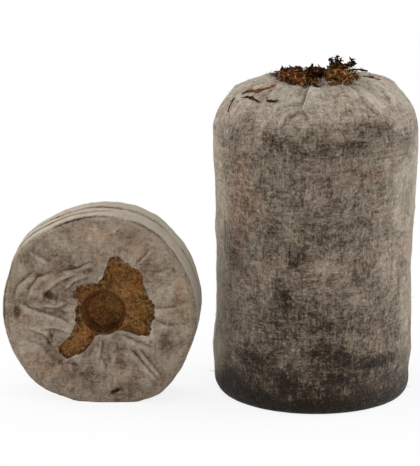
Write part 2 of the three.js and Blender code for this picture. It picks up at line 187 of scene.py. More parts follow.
# Folds pressed into the dry pellet's face: millimetres across and up from its middle, then height and width
face_folds = [
    ([(-15, 13.3), (-12.8, 12.2), (-10.5, 10.7)], 0.405, 0.63),
    ([(8.5, 11), (10, 12.5), (11.2, 14.1)], 0.459, 0.49),
    ([(4.5, 19), (3, 17.6)], 0.297, 0.35),
    ([(4.6, -5), (8.1, -6.6), (11.4, -7.9)], 0.54, 0.84),
    ([(6.2, -7.8), (9.8, -12.1), (12.6, -15.2)], 0.567, 0.63),
    ([(7.9, -7.2), (11, -11.5), (13.3, -14.3)], 0.486, 0.56),
    ([(0.3, -10.2), (1.1, -12.8)], 0.459, 0.49),
    ([(0.4, -6), (-0.3, -10.8)], 0.351, 0.56),
    ([(3.2, -6), (3.6, -9), (3, -12)], 0.27, 0.56),
    ([(-18.4, 2.5), (-17.4, 5.6), (-15.3, 7.5), (-13.8, 8.8)], 0.54, 0.77),
    ([(-15.7, 2.3), (-14.6, 5.4), (-12.9, 7.6), (-9.6, 8.8)], 0.513, 0.7),
    ([(-17.8, 2.2), (-14.8, 0.4), (-11.9, -0.4), (-8.3, -1.6), (-5.8, -3.2)], 0.486, 0.84),
    ([(-4.8, 8.9), (-8.7, 7), (-11.8, 4.5), (-12.7, 2)], 0.486, 0.7),
    ([(-8.1, 8.9), (-4.8, 9.5), (-0.7, 11.4)], 0.459, 0.56),
    ([(-2.6, 8.2), (-5.6, 7), (-7.6, 4.6)], 0.405, 0.63),
    ([(-6.2, 2.6), (-9, 1.2), (-12.5, 1.4)], 0.378, 0.63),
    ([(-6, -4.6), (-9.2, -3.4), (-13, -3.6)], 0.351, 0.7),
    ([(-9.9, -7.5), (-11.9, -4.8), (-15.8, -3.4)], 0.459, 0.7),
    ([(11.1, 0.9), (14.1, 1), (16.8, 1.6)], 0.432, 0.63),
    ([(11.6, -1.6), (14.6, -2.8), (17.4, -2.6)], 0.324, 0.7),
    ([(9.6, 9.4), (13, 9), (15.6, 10.2)], 0.27, 0.84),
    ([(-16.4, -6.4), (-12.8, -7.6), (-10, -11.4)], 0.297, 0.91),
]

# Grooves between the plies round the dry pellet's rim: the share of its width that lies behind each, the
# degrees where it is deepest, and how much deeper it is there
ply_grooves = [(0.4, 70, 0.85), (0.64, 128, 0.5)]

# Where the dry pellet's rim stands out from a true circle: degrees round it, half the width and the rise
rim_lumps = [(140, 15, 0.9), (65, 22, 0.6), (-53, 18, 1.2), (-129, 14, 0.6), (-112, 7, -0.15), (95, 22, 0.2)]

# Peat dust and stains on the dry pellet's face: millimetres across and up, half width, half height, strength
face_dust = [
    (-10.8, 3.7, 1.5, 1.2, 0.9), (3, -17.8, 0.7, 0.5, 0.8), (4.6, -17.2, 0.5, 0.4, 0.5),
    (-5.4, -11.7, 1, 0.5, 0.8), (-10.8, -6.2, 0.7, 1.4, 0.8), (-5.2, 3.8, 0.5, 1, 0.9),
    (-17.8, 0.2, 0.6, 2.4, 0.45), (8, -12, 1.2, 2.4, 0.3), (14.4, -6, 1.4, 4, 0.22), (-8, 12, 3, 2, 0.22),
    (9.6, 4, 1.6, 5, 0.28), (-7.6, -10.8, 2, 1, 0.5), (0, 15.4, 3, 1.4, 0.15), (12.2, 8.4, 1, 1, 0.3),
    (-13.4, 8.4, 1.6, 0.8, 0.35), (-2.4, -13.6, 3, 1, 0.2), (16.6, 3, 1.2, 4, 0.2), (-15.4, -10, 2, 3, 0.2),
    (-4.6, 9.6, 3.4, 0.9, 0.5),
]
face_rosy = [
    (17.6, 3, 1.8, 5.4, 0.8), (-14.6, -11.8, 3.4, 2.6, 0.7), (-1, 17.4, 5, 1.8, 0.7), (9, 14, 4, 2.6, 0.5),
    (-16.6, -2.6, 1.6, 3, 0.5), (-10, -13, 2.4, 1.6, 0.6), (6, -9.6, 2, 2, 0.3),
]
face_greenish = [
    (-17.2, 2.6, 1.6, 2.6, 0.8), (19.6, 0, 0.9, 6, 0.7), (-15.6, 8.4, 2, 2, 0.6), (8, -16.6, 5, 1.6, 0.4),
    (-9, 15, 3, 1.4, 0.4), (-2, -14.6, 6, 2, 0.35), (13.4, 11.4, 2, 2, 0.4),
]


# Numbers and noise

def smoothstep(x, low, high):
    share = np.clip((x - low) / (high - low), 0, 1)
    return share * share * (3 - 2 * share)


def falling(x, low, high):
    return 1 - smoothstep(x, low, high)


def band(x, low, high, fall_from, fall_to):
    """Rises from 0 to 1 between low and high, and falls back to 0 between fall_from and fall_to."""
    return smoothstep(x, low, high) * falling(x, fall_from, fall_to)


def hump(x, middle, half_width):
    """1 at the middle, and less and less on both sides of it."""
    return np.exp(-(((x - middle) / half_width) ** 2))


def degrees_past(degrees, turn):
    """Degrees beyond a turn, or before it if that is nearer."""
    return (degrees - turn + 180) % 360 - 180


def cell_value(cell, seed):
    """A fixed number from -1 to 1 for each cell of a grid."""
    mixed = cell[..., 0] * 73856093 ^ cell[..., 1] * 19349663 ^ cell[..., 2] * 83492791 ^ seed * 2654435761
    mixed = (mixed ^ (mixed >> 13)) & 0xFFFFFFFF
    mixed = (mixed * 1274126177) & 0xFFFFFFFF
    return ((mixed ^ (mixed >> 16)) & 0xFFFFFFFF) / 0x7FFFFFFF - 1


def soft_noise(points, size, seed):
    """Smooth field from -1 to 1, with lumps about size across."""
    grid = points / size
    low = np.floor(grid).astype(np.int64)
    share = smoothstep(grid - low, 0, 1)
    total = np.zeros(points.shape[:-1])
    for corner in np.ndindex(2, 2, 2):
        step = np.array(corner)
        total += np.prod(np.where(step == 1, share, 1 - share), axis=-1) * cell_value(low + step, seed)
    return total


def layered_noise(points, size, seed, layers=3):
    """Soft noise with finer and weaker layers over it."""
    return sum(soft_noise(points, size / 2**k, seed + k) / 2**k for k in range(layers)) / 1.4


def noises(points, *parts, noise=layered_noise):
    """Sum of noises, each given as its strength, size and seed, and its layers if they aren't 3."""
    return sum(strength * noise(points, *settings) for strength, *settings in parts)


def ridges(points, size, seed):
    """Narrow ridges between soft hollows, from 0 to 1."""
    return (1 - np.minimum(1, np.abs(layered_noise(points, size, seed, 2)))) ** 3


def at_angle(angle, radius, height):
    angle, radius, height = np.broadcast_arrays(angle, radius, height)
    return np.stack([radius * np.cos(angle), radius * np.sin(angle), height], axis=-1)


def to_path(path, x, y):
    """For each point, its distance from a path, its side of the path, and the share of the path behind it."""
    shape = np.broadcast(x, y).shape
    nearest, side, behind = np.full(shape, np.inf), np.zeros(shape), np.zeros(shape)
    for k, ((ax, ay), (bx, by)) in enumerate(zip(path, path[1:])):
        dx, dy = bx - ax, by - ay
        share = np.clip(((x - ax) * dx + (y - ay) * dy) / (dx * dx + dy * dy), 0, 1)
        off_x, off_y = x - ax - share * dx, y - ay - share * dy
        distance = np.hypot(off_x, off_y)
        is_nearer = distance < nearest
        nearest = np.where(is_nearer, distance, nearest)
        side = np.where(is_nearer, np.sign(dx * off_y - dy * off_x), side)
        behind = np.where(is_nearer, (k + share) / (len(path) - 1), behind)
    return nearest, side, behind


def fold_rise(path, x, y, height, width):
    """Rise of a fold that steps up at its path, falls away on the other side and dies out at its ends."""
    step_width, valley_at, valley_width, valley_depth = 0.22, 0.35, 0.25, 0.55
    distance, side, behind = to_path(path, x, y)
    step = np.where(side > 0, hump(distance, 0, step_width), np.exp(-((distance / width) ** 1.5)))
    valley = np.where(side > 0, hump(distance, valley_at, valley_width), 0)
    return height * band(behind, -0.02, 0.2, 0.75, 1.02) * (step - valley_depth * valley)


def blots(places, x, y, wander):
    """Sum of soft blots with ragged edges, given as middle, half width, half height and strength."""
    total = np.zeros(np.broadcast(x, y, wander).shape)
    for across, up, half_width, half_height, strength in places:
        away = np.hypot((x - across) / half_width, (y - up) / half_height) + wander
        total += strength * falling(away, 0.4, 1.35)
    return total


def unit(vector):
    return vector / max(np.linalg.norm(vector), 1e-9)


# Meshes, from points in millimetres

def ring_quads(rows, columns, joins_ends):
    """Quads between rows of points that each close on themselves. The last row may join the first."""
    bands = rows if joins_ends else rows - 1
    i, j = np.meshgrid(np.arange(bands), np.arange(columns), indexing="ij")
    above, beside = (i + 1) % rows, (j + 1) % columns
    corners = [i * columns + j, i * columns + beside, above * columns + beside, above * columns + j]
    return np.stack(corners, axis=-1).reshape(-1, 4)


def new_object(name, data):
    item = bpy.data.objects.new(name, data)
    bpy.context.scene.collection.objects.link(item)
    return item


def new_piece(name, points, faces, masks, place):
    """Smooth mesh object from points in millimetres, with a number at each point for each mask."""
    mesh = bpy.data.meshes.new(name)
    mesh.from_pydata((np.asarray(points).reshape(-1, 3) * mm).tolist(), [], faces)
    for key, values in masks.items():
        numbers = mesh.attributes.new(key, "FLOAT", "POINT").data
        numbers.foreach_set("value", np.ravel(values).astype(np.float32))
    mesh.shade_smooth()
    if place is not None:
        mesh.transform(place)
    return new_object(name, mesh)


def shell_piece(name, rows, masks, cloth_heights, place=None):
    """Closed shell through rows of points. Its cloth map has shares of the sheet's width, and millimetres."""
    count, columns = rows.shape[:2]
    quads = ring_quads(count, columns, True)
    piece = new_piece(name, rows, quads.tolist(), masks, place)
    row, column = quads // columns, quads % columns
    across = np.where((column == 0) & (np.arange(4) % 3 > 0), columns, column) / columns
    uv = np.stack([across, np.asarray(cloth_heights)[row]], axis=-1)
    piece.data.uv_layers.new(name="cloth").data.foreach_set("uv", uv.ravel().astype(np.float32))
    return piece


def closed_solid(rows, first, last):
    """Points and faces through rows of points that each close on themselves, with a point at each end."""
    count, columns = rows.shape[:2]
    start, top = count * columns, (count - 1) * columns
    faces = ring_quads(count, columns, False).tolist()
    faces += [[start, (j + 1) % columns, j] for j in range(columns)]
    faces += [[start + 1, top + j, top + (j + 1) % columns] for j in range(columns)]
    return np.concatenate([rows.reshape(-1, 3), [first], [last]]), faces


def solid_piece(name, rows, tone, place=None):
    """Closed solid through rows of points whose first and last rows each close on their middle."""
    points, faces = closed_solid(rows, rows[0].mean(0), rows[-1].mean(0))
    tones = np.concatenate([np.ravel(tone), [tone[0].mean()], [tone[-1].mean()]])
    return new_piece(name, points, faces, {"tone": tones}, place)


def roughened(rows, rough):
    """Rows of a solid's points, each moved outwards by a number of millimetres."""
    out = np.cross(np.roll(rows, -1, axis=1) - np.roll(rows, 1, axis=1), np.gradient(rows, axis=0))
    out = out / np.maximum(np.linalg.norm(out, axis=-1, keepdims=True), 1e-9)
    return rows + out * rough[..., None]


class Crumbs:
    """Many small closed lumps and strands gathered into one mesh, each with its own tone."""

    def __init__(self):
        self.points, self.faces, self.tones, self.count = [], [], [], 0

    def add(self, shape, tone):
        points, faces = shape
        self.faces.extend([[k + self.count for k in face] for face in faces])
        self.points.append(points)
        self.tones.append(np.broadcast_to(tone, (len(points),)))
        self.count += len(points)

    def keep_within(self, node, spare):
        """Draws stray points back to a node's box, with millimetres to spare on all sides but below."""
        low, high = (np.array(corner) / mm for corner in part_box(node))
        self.points = [np.clip(points, low - (spare, spare, 0), high + spare) for points in self.points]

    def piece(self, name, place=None):
        masks = {"tone": np.concatenate(self.tones)}
        return new_piece(name, np.concatenate(self.points), self.faces, masks, place)


def ball(divisions):
    mesh = bmesh.new()
    bmesh.ops.create_icosphere(mesh, subdivisions=divisions, radius=1)
    points = np.array([vertex.co for vertex in mesh.verts])
    faces = [[vertex.index for vertex in face.verts] for face in mesh.faces]
    mesh.free()
    return points, faces


small_ball, large_ball = ball(2), ball(6)


def grain(rng, middle, size):
    """Small rough lump."""
    points, faces = small_ball
    rough = points * (1 + 0.35 * rng.uniform(-1, 1, (len(points), 1)))
    return middle + rough * rng.uniform(0.6, 1.35, 3) * size, faces


def tube(path, radii, flatness=1.0, flat_way=(0, 0, 1), sides=6):
    """Closed tube with pointed ends through the points of a path, thinned along flat_way."""
    ahead = np.gradient(path, axis=0)
    turn = (np.arange(sides) / sides * full_turn)[:, None]
    rings = []
    for at, way, radius in zip(path[1:-1], ahead[1:-1], radii[1:-1]):
        way = unit(way)
        up = unit(np.asarray(flat_way) - np.dot(flat_way, way) * way)
        rings.append(at + radius * (np.cos(turn) * np.cross(up, way) + flatness * np.sin(turn) * up))
    return closed_solid(np.array(rings), path[0], path[-1])


def sprig_path(rng, foot, way, length, curl, steps=7):
    """Points of a thin stem that curls as it grows."""
    path, way, turning = [np.asarray(foot, float)], unit(np.asarray(way, float)), rng.normal(size=3)
    for _ in range(steps - 1):
        way = unit(way + curl * np.cross(turning, way) / steps + 0.18 * rng.normal(size=3))
        path.append(path[-1] + way * length / (steps - 1))
    return np.array(path)


def smooth_path(points, steps):
    """Points of a smooth curve through the given ones."""
    points = np.asarray(points, float)
    padded = np.concatenate([[2 * points[0] - points[1]], points, [2 * points[-1] - points[-2]]])
    made = []
    for share in np.linspace(0, len(points) - 1, steps):
        k = min(int(share), len(points) - 2)
        t = share - k
        a, b, c, d = padded[k : k + 4]
        bend = (2 * a - 5 * b + 4 * c - d) * t**2 + (3 * b - a - 3 * c + d) * t**3
        made.append(b + 0.5 * ((c - a) * t + bend))
    return np.array(made)


# Materials

def linear_colour(red, green, blue):
    """A colour as a screen shows it, from 0 to 255, in the values that a shader takes."""
    levels = [x / 255 for x in (red, green, blue)]
    return (*(x / 12.92 if x <= 0.04045 else ((x + 0.055) / 1.055) ** 2.4 for x in levels), 1)


class Nodes:
    """Makes and links the nodes of one tree."""

    def __init__(self, tree):
        self.tree = tree

    def set(self, socket, value):
        if isinstance(value, bpy.types.NodeSocket):
            self.tree.links.new(value, socket)
        else:
            socket.default_value = value

    def make(self, kind, inputs, **settings):
        node = self.tree.nodes.new(kind)
        for key, value in settings.items():
            setattr(node, key, value)
        for key, value in inputs.items():
            self.set(node.inputs[key], value)
        return node.outputs

    def maths(self, operation, a, b=0.0):
        return self.make("ShaderNodeMath", {0: a, 1: b}, operation=operation)[0]

    def times_plus(self, a, factor, offset):
        return self.make("ShaderNodeMath", {0: a, 1: factor, 2: offset}, operation="MULTIPLY_ADD")[0]

    def swayed(self, value, noise, strength):
        """A value moved up and down by a noise from 0 to 1."""
        return self.times_plus(self.maths("SUBTRACT", noise, 0.5), strength, value)

    def mix(self, share, a, b):
        return self.make("ShaderNodeMix", {0: share, 6: a, 7: b}, data_type="RGBA")[2]

    def tinted_by(self, tints, colour):
        """A colour multiplied by each tint's factors, as far as the tint's share says."""
        for share, factors in tints:
            inputs = {0: share, 6: colour, 7: (*factors, 1)}
            colour = self.make("ShaderNodeMix", inputs, data_type="RGBA", blend_type="MULTIPLY")[2]
        return colour

    def rescale(self, value, low, high, to_low=0.0, to_high=1.0):
        inputs = {"Value": value, "From Min": low, "From Max": high, "To Min": to_low, "To Max": to_high}
        return self.make("ShaderNodeMapRange", inputs, interpolation_type="SMOOTHSTEP")["Result"]

    def vector_maths(self, operation, a, b):
        return self.make("ShaderNodeVectorMath", {0: a, 1: b}, operation=operation)[0]

    def scaled(self, vector, scale, turn):
        """A place turned about Z by some degrees, then scaled."""
        turned = self.make("ShaderNodeMapping", {"Vector": vector, "Rotation": (0, 0, math.radians(turn))})[0]
        return self.vector_maths("MULTIPLY", turned, scale)

    def noise(self, vector, scale, detail, roughness=0.5, distortion=0.0):
        inputs = {"Vector": vector, "Scale": scale, "Detail": detail, "Roughness": roughness}
        return self.make("ShaderNodeTexNoise", {**inputs, "Distortion": distortion})[0]

    def lines(self, noise, width):
        """Thin lines where a noise crosses its middle."""
        return self.rescale(self.maths("ABSOLUTE", self.maths("SUBTRACT", noise, 0.5)), 0.0, width, 1.0, 0.0)

    def ramp(self, value, stops):
        node = self.tree.nodes.new("ShaderNodeValToRGB")
        self.set(node.inputs["Fac"], value)
        elements = node.color_ramp.elements
        while len(elements) < len(stops):
            elements.new(0.5)
        for element, (place, colour) in zip(elements, stops):
            element.position = place
            element.color = linear_colour(*colour)
        return node.outputs["Color"]

    def bump(self, height, distance, strength=1.0, normal=None):
        inputs = {"Height": height, "Distance": distance * mm, "Strength": strength}
        if normal is not None:
            inputs["Normal"] = normal
        return self.make("ShaderNodeBump", inputs)[0]

    def group(self, tree, place, fineness):
        return self.make("ShaderNodeGroup", {"Place": place, "Fineness": fineness}, node_tree=tree)

    def mask(self, name):
        return self.make("ShaderNodeAttribute", {}, attribute_name=name)["Fac"]

    def place(self):
        """Place in the piece, in millimetres."""
        at = self.make("ShaderNodeTexCoord", {})["Object"]
        return self.vector_maths("DIVIDE", at, (mm, mm, mm))

    def cloth(self, width):
        """Place on the flat sheet, in millimetres."""
        shares = self.make("ShaderNodeUVMap", {}, uv_map="cloth")[0]
        return self.vector_maths("MULTIPLY", shares, (width, 1, 1))


def new_group(name, outputs):
    """A node group that takes a place and a fineness. Gives its nodes, the fine place and its outputs."""
    tree = bpy.data.node_groups.new(name, "ShaderNodeTree")
    tree.interface.new_socket("Place", in_out="INPUT", socket_type="NodeSocketVector")
    tree.interface.new_socket("Fineness", in_out="INPUT", socket_type="NodeSocketFloat")
    for label in outputs:
        tree.interface.new_socket(label, in_out="OUTPUT", socket_type="NodeSocketFloat")
    nodes = Nodes(tree)
    given = nodes.make("NodeGroupInput", {})
    inputs = {0: given["Place"], "Scale": given["Fineness"]}
    fine_place = nodes.make("ShaderNodeVectorMath", inputs, operation="SCALE")[0]
    return nodes, fine_place, tree.nodes.new("NodeGroupOutput").inputs


def fleece_fibres_group():
    """Strands of a thin non-woven fleece that cross every way, and the finer hatching between them."""
    nodes, place, out = new_group("fleece fibres", ["Strands", "Hatch"])
    strands = 0.0
    for turn in (3, 92, 41, -46, 67):
        lumps = nodes.noise(nodes.scaled(place, (3.4, 0.22, 1), turn), 1.0, 1.0, 0.5, 0.5)
        strands = nodes.maths("MAXIMUM", nodes.lines(lumps, 0.05), strands)
    upright = nodes.noise(nodes.scaled(place, (2.3, 0.3, 1), 2), 1.0, 3.0, 0.65)
    level = nodes.noise(nodes.scaled(place, (0.28, 2.5, 1), -1.5), 1.0, 3.0, 0.65)
    either = nodes.rescale(nodes.noise(place, 0.3, 1.0), 0.35, 0.65)
    nodes.set(out["Strands"], strands)
    nodes.set(out["Hatch"], nodes.make("ShaderNodeMix", {0: either, 2: upright, 3: level})[0])
    return nodes.tree


def peat_grain_group():
    """Crumbs and short threads of peat."""
    nodes, place, out = new_group("peat grain", ["Shade", "Threads", "Height"])
    warp = nodes.make("ShaderNodeTexNoise", {"Vector": place, "Scale": 1.3, "Detail": 2.0})["Color"]
    bent = nodes.vector_maths("ADD", place, nodes.vector_maths("MULTIPLY", warp, (0.9, 0.9, 0.9)))
    crumbs = nodes.make("ShaderNodeTexVoronoi", {"Vector": bent, "Scale": 1.0, "Randomness": 1.0})
    gaps = nodes.rescale(crumbs["Distance"], 0.25, 0.75)
    tone = nodes.make("ShaderNodeSeparateColor", {0: crumbs["Color"]})[0]
    threads = 0.0
    for k, scale in enumerate(((3.1, 0.35, 0.7), (0.4, 3.3, 0.6), (0.6, 0.5, 3.0))):
        lumps = nodes.noise(nodes.scaled(place, scale, 23 * k + 11), 1.0, 1.0, 0.5, 0.9)
        threads = nodes.maths("MAXIMUM", nodes.lines(lumps, 0.045), threads)
    # The Shade output is the crumbs' own tone, darker in the gaps between crumbs as painted shade.
    nodes.set(out["Shade"], nodes.times_plus(gaps, -0.55, nodes.times_plus(tone, 0.45, 0.3)))
    nodes.set(out["Threads"], threads)
    nodes.set(out["Height"], nodes.times_plus(threads, 0.4, nodes.times_plus(gaps, -0.9, 0.9)))
    return nodes.tree


fleece_fibres = fleece_fibres_group()
peat_grain = peat_grain_group()


def new_material(name, specular, roughness):
    """A material with one shader. Its even values are set on the shader's own sockets."""
    material = bpy.data.materials.new(name)
    material.use_nodes = True
    shader = material.node_tree.nodes["Principled BSDF"]
    shader.inputs["Specular IOR Level"].default_value = specular
    shader.inputs["Roughness"].default_value = roughness
    return material, Nodes(material.node_tree), shader


def fleece(name, wet, stops):
    """Thin fleece over peat. Where it covers less, more of the dark peat shows through. Its covering mask
    also carries painted light and shade.
    """
    material, nodes, shader = new_material(name, 0.06, 0.97)
    sheen = {"Weight": 0.5, "Roughness": 0.18, "Tint": linear_colour(228, 233, 226)}
    for key, value in sheen.items():
        shader.inputs["Sheen " + key].default_value = value
    place = nodes.place()
    if wet:
        sheet = nodes.cloth(full_turn * swollen_top_radius)
    else:
        x, y, z = nodes.make("ShaderNodeSeparateXYZ", {0: place}).values()
        sheet = nodes.make("ShaderNodeCombineXYZ", {"X": x, "Y": z, "Z": y})[0]
    fine, broad = (nodes.group(fleece_fibres, sheet, fineness) for fineness in (1.0, 0.45))
    mottle = nodes.noise(place, 0.5, 4.0, 0.7, 0.5)
    grit = nodes.noise(place, 1.8, 3.0, 0.65, 0.8)
    sway = 0.82 if wet else 0.58
    cover_and_painted_light = nodes.mask("cover_and_painted_light")
    for noise, share in ((fine["Hatch"], 1.0), (broad["Hatch"], 0.65), (mottle, 1.0), (grit, 1.4)):
        cover_and_painted_light = nodes.swayed(cover_and_painted_light, noise, share * sway)
    pits = nodes.rescale(nodes.noise(place, 0.85, 3.0, 0.6, 0.6), 0.56, 0.7)
    cover_and_painted_light = nodes.times_plus(pits, -0.12 * sway, cover_and_painted_light)
    tinge = nodes.noise(place, 0.12, 3.0, 0.6, 0.5)
    tints = [
        (nodes.mask("rusty"), (1.24, 0.96, 0.78)),
        (nodes.mask("plum"), (0.97, 0.91, 1.0)),
        (nodes.mask("greenish"), (0.93, 1.02, 0.86)),
        (nodes.rescale(tinge, 0.5, 0.7), (1.05, 0.98, 0.94)),
        (nodes.rescale(tinge, 0.48, 0.3), (0.96, 0.99, 0.97)),
    ]
    colour = nodes.tinted_by(tints, nodes.ramp(cover_and_painted_light, stops))
    strands = nodes.maths("MULTIPLY", fine["Strands"], nodes.rescale(cover_and_painted_light, 0.1, 0.7, 0.03, 0.3))
    nodes.set(shader.inputs["Base Color"], nodes.mix(strands, colour, linear_colour(200, 190, 176)))
    if wet:
        nodes.set(shader.inputs["Roughness"], nodes.rescale(cover_and_painted_light, 0.05, 0.5, 0.75, 0.97))
    weave = nodes.bump(nodes.times_plus(fine["Strands"], 0.5, fine["Hatch"]), 0.1, 0.9)
    nodes.set(shader.inputs["Normal"], nodes.bump(nodes.maths("ADD", grit, mottle), 0.3, 0.8, weave))
    return material


def peat(name, fineness, colours, roughness, relief, contrast=1.0):
    """Peat of crumbs and threads. A point's tone shifts it from the first of the colours to the last."""
    material, nodes, shader = new_material(name, 0.08, roughness)
    place = nodes.place()
    grains = nodes.group(peat_grain, place, fineness)
    mottle = nodes.noise(place, 0.6 * fineness, 3.0, 0.65, 0.4)
    value = nodes.swayed(nodes.mask("tone"), mottle, 0.9 * contrast)
    value = nodes.times_plus(nodes.maths("SUBTRACT", grains["Shade"], 0.3), 0.8 * contrast, value)
    value = nodes.times_plus(grains["Threads"], 0.18 * contrast, value)
    stops = list(zip(np.linspace(0, 1, len(colours)).tolist(), colours))
    tinge = nodes.noise(place, 0.3, 2.0, 0.6, 0.4)
    tints = [
        (nodes.rescale(tinge, 0.5, 0.66), (1.12, 0.9, 0.8)),
        (nodes.rescale(tinge, 0.48, 0.32), (0.98, 1.03, 0.78)),
    ]
    nodes.set(shader.inputs["Base Color"], nodes.tinted_by(tints, nodes.ramp(value, stops)))
    nodes.set(shader.inputs["Normal"], nodes.bump(grains["Height"], relief))
    return material


# The fleece's colours, by how well it covers the peat and by the painted light and shade in the same mask
damp_stops = [
    (0.0, (28, 20, 14)), (0.2, (61, 48, 36)), (0.42, (98, 83, 68)), (0.65, (136, 120, 102)),
    (0.85, (168, 154, 137)), (1.0, (190, 179, 163)),
]
dry_stops = [
    (0.0, (60, 44, 30)), (0.3, (104, 85, 66)), (0.55, (138, 119, 100)), (0.8, (166, 149, 130)),
    (1.0, (190, 178, 161)),
]

# Each peat's fineness, colours, roughness and relief in millimetres, and its contrast if that isn't 1
peats = {
    "wet_peat": (1.6, [(23, 14, 8), (57, 34, 19), (95, 63, 39), (136, 100, 63)], 0.8, 0.3),
    "dry_peat": (1.9, [(48, 28, 13), (100, 66, 35), (146, 103, 60), (184, 138, 86)], 0.95, 0.16, 0.6),
    "loose_peat": (2.2, [(27, 14, 6), (79, 45, 23), (140, 95, 52), (208, 160, 102)], 0.92, 0.15),
    "root": (2.4, [(50, 32, 21), (112, 63, 42), (172, 104, 72), (210, 148, 106)], 0.8, 0.1),
}
finishes = {slot: peat(slot.replace("_", " "), *look) for slot, look in peats.items()}
finishes["damp_fleece"] = fleece("damp fleece", True, damp_stops)
finishes["dry_fleece"] = fleece("dry fleece", False, dry_stops)


def dress(piece, body, slot, *nodes):
    """Gives a piece its finish and its body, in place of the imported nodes."""
    piece.data.materials.append(finishes[slot])
    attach(piece, body)
    if nodes:
        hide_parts(*nodes)
    return piece


# Swollen pellet

def swollen_profile(steps, inset=0.0):
    """Radius, height and outward way at even steps of the sleeve, from its lower mouth to its upper one."""
    turn = np.linspace(0, math.pi / 2, 60)
    corner = foot_radius - base_corner_radius * (1 - np.sin(turn))
    corner_rise = base_corner_radius * (1 - np.cos(turn))
    shoulder = mouth_radius + shoulder_width * np.cos(turn)
    shoulder_rise = side_top + shoulder_drop * np.sin(turn)
    radius = np.concatenate([[base_mouth_radius], corner, [swollen_low_radius], shoulder])
    height = np.concatenate([[0], corner_rise, [foot_rise], shoulder_rise])
    along = np.concatenate([[0], np.cumsum(np.hypot(np.diff(radius), np.diff(height)))])
    even = np.linspace(0, along[-1], steps)
    radius, height = np.interp(even, along, radius), np.interp(even, along, height)
    out_r, out_z = np.gradient(height, even), -np.gradient(radius, even)
    length = np.hypot(out_r, out_z)
    out_r, out_z = out_r / length, out_z / length
    columns = (radius - inset * out_r, height - inset * out_z, out_r, out_z, even)
    return [column[:, None] for column in columns]


def shoulder_share(below):
    """1 near the open edge, at millimetres below it, and 0 where the straight side begins."""
    return falling(below, 2, 17.5)


def bulge(angle, height):
    fade = band(height, 0, foot_rise, side_top, swollen_height)
    return bulge_depth * fade * np.sin(2 * angle + height / bulge_rise * full_turn + bulge_start)


def all_round(columns):
    return np.linspace(-math.pi, math.pi, columns, endpoint=False)[None, :]


def sleeve_folds(angle, radius, below):
    """Rise of the folds over the shoulder, at millimetres below the open edge."""
    rise = 0
    for path, height, width in shoulder_folds:
        middle = np.mean([turn for turn, _ in path])
        near = np.radians(degrees_past(np.degrees(angle), middle))
        local = [(math.radians(turn - middle) * radius, down) for turn, down in path]
        rise += fold_rise(local, near * radius, below, height, width)
    return rise


def sleeve_cover_and_light(degrees, height, base):
    """How well the sleeve covers the wet peat, without its single wet places, with painted shade low on the
    foot and a painted highlight down its left and right sides.
    """
    lean = layered_noise(base * (1, 1, 2.2), 7.0, 51, 4)
    edge = np.interp(degrees, *zip(*pale_from)) + 0.8 * lean + 0.6 * layered_noise(base, 1.2, 57)
    fade = 1.6 + 2.2 * hump(degrees, -140, 24)
    wandering = height + lean * (1.6 + 1.6 * smoothstep(height, 0, 10))
    wandering -= 1.6 * hump(degrees, -135, 25) * falling(height, 4, 14)
    cover_and_painted_light = np.interp(wandering, *zip(*cover_and_foot_shade_at)) + 0.24 * smoothstep(height, edge - fade, edge + fade)
    cover_and_painted_light -= 0.05 * (smoothstep(height, edge - 9, edge - 3) - smoothstep(height, edge - 1, edge + 1))
    right_side = band(degrees, -66, -46, 10, 40)
    cover_and_painted_light += 0.08 * right_side * (1 - 1.6 * smoothstep(height, 54, 62))
    # The sides that face left and right, as seen from the front, get a painted highlight.
    painted_edge_highlight = hump(degrees, 0, 20) + hump(np.abs(degrees), 180, 22)
    cover_and_painted_light += 0.33 * painted_edge_highlight * band(height, 0, 8, 56, 63)
    return cover_and_painted_light + noises(base, (0.1, 5.0, 71), (0.05, 1.6, 75))


def sleeve_masks(angle, radius, height, base):
    """How well the fleece covers the wet peat, with painted light and shade, and its tinges."""
    degrees = np.degrees(angle)
    wander = 0.4 * layered_noise(base, 3.0, 61)

    def blotted(places):
        total = 0
        for turn, *blot in places:
            across = np.radians(degrees_past(degrees, turn)) * radius
            total = total + blots([(0, *blot)], across, height, wander)
        return total

    tinges = {"rusty": rusty_places, "plum": plum_places, "greenish": greenish_places}
    masks = {key: 0.8 * np.clip(blotted(places), 0, 1) for key, places in tinges.items()}
    return {"cover_and_painted_light": sleeve_cover_and_light(degrees, height, base) - 0.42 * blotted(wet_places), **masks}


def gathers(angle, radius, height, below, base):
    """Rise of the sleeve's pleats, gathers, lumps and lap, and the fine streaks on its shoulder."""
    degrees = np.degrees(angle)
    shoulder = shoulder_share(below)
    gathered = at_angle(angle, 14, 0.22 * below)
    streaks = shoulder * (ridges(gathered, 0.8, 23) - 0.35)
    rise = pleat_height * 0.5 * shoulder**2 * (0.5 + 0.5 * np.cos(pleat_count * angle)) ** 2
    rise += shoulder * (noises(gathered, (0.42, 3.2, 13), (0.3, 1.3, 17), noise=ridges) - 0.288)
    rise += 0.12 * streaks + 0.1 * band(below, 6, 10, 14, 19) * ridges(gathered, 0.8, 19)
    for turn, down, half_turn, half_down, fullness in fuller_places:
        near = hump(degrees_past(degrees, turn), 0, half_turn)
        rise += fullness * near * hump(below, down, half_down)
    rise += noises(base, (0.3, 9.0, 21), (0.05, 0.9, 35, 2))
    rise += 0.1 * layered_noise(base * (1, 1, 0.6), 2.4, 31)
    from_seam = np.abs(angle - math.pi / 2) * radius
    on_side = smoothstep(height, base_corner_radius, base_corner_radius + 2)
    lap_edge = seam_width / 2 + 0.35 * soft_noise(at_angle(0 * angle, 1, height), 3.0, 44)
    return rise + 0.35 * on_side * falling(from_seam - lap_edge, -0.3, 0), streaks


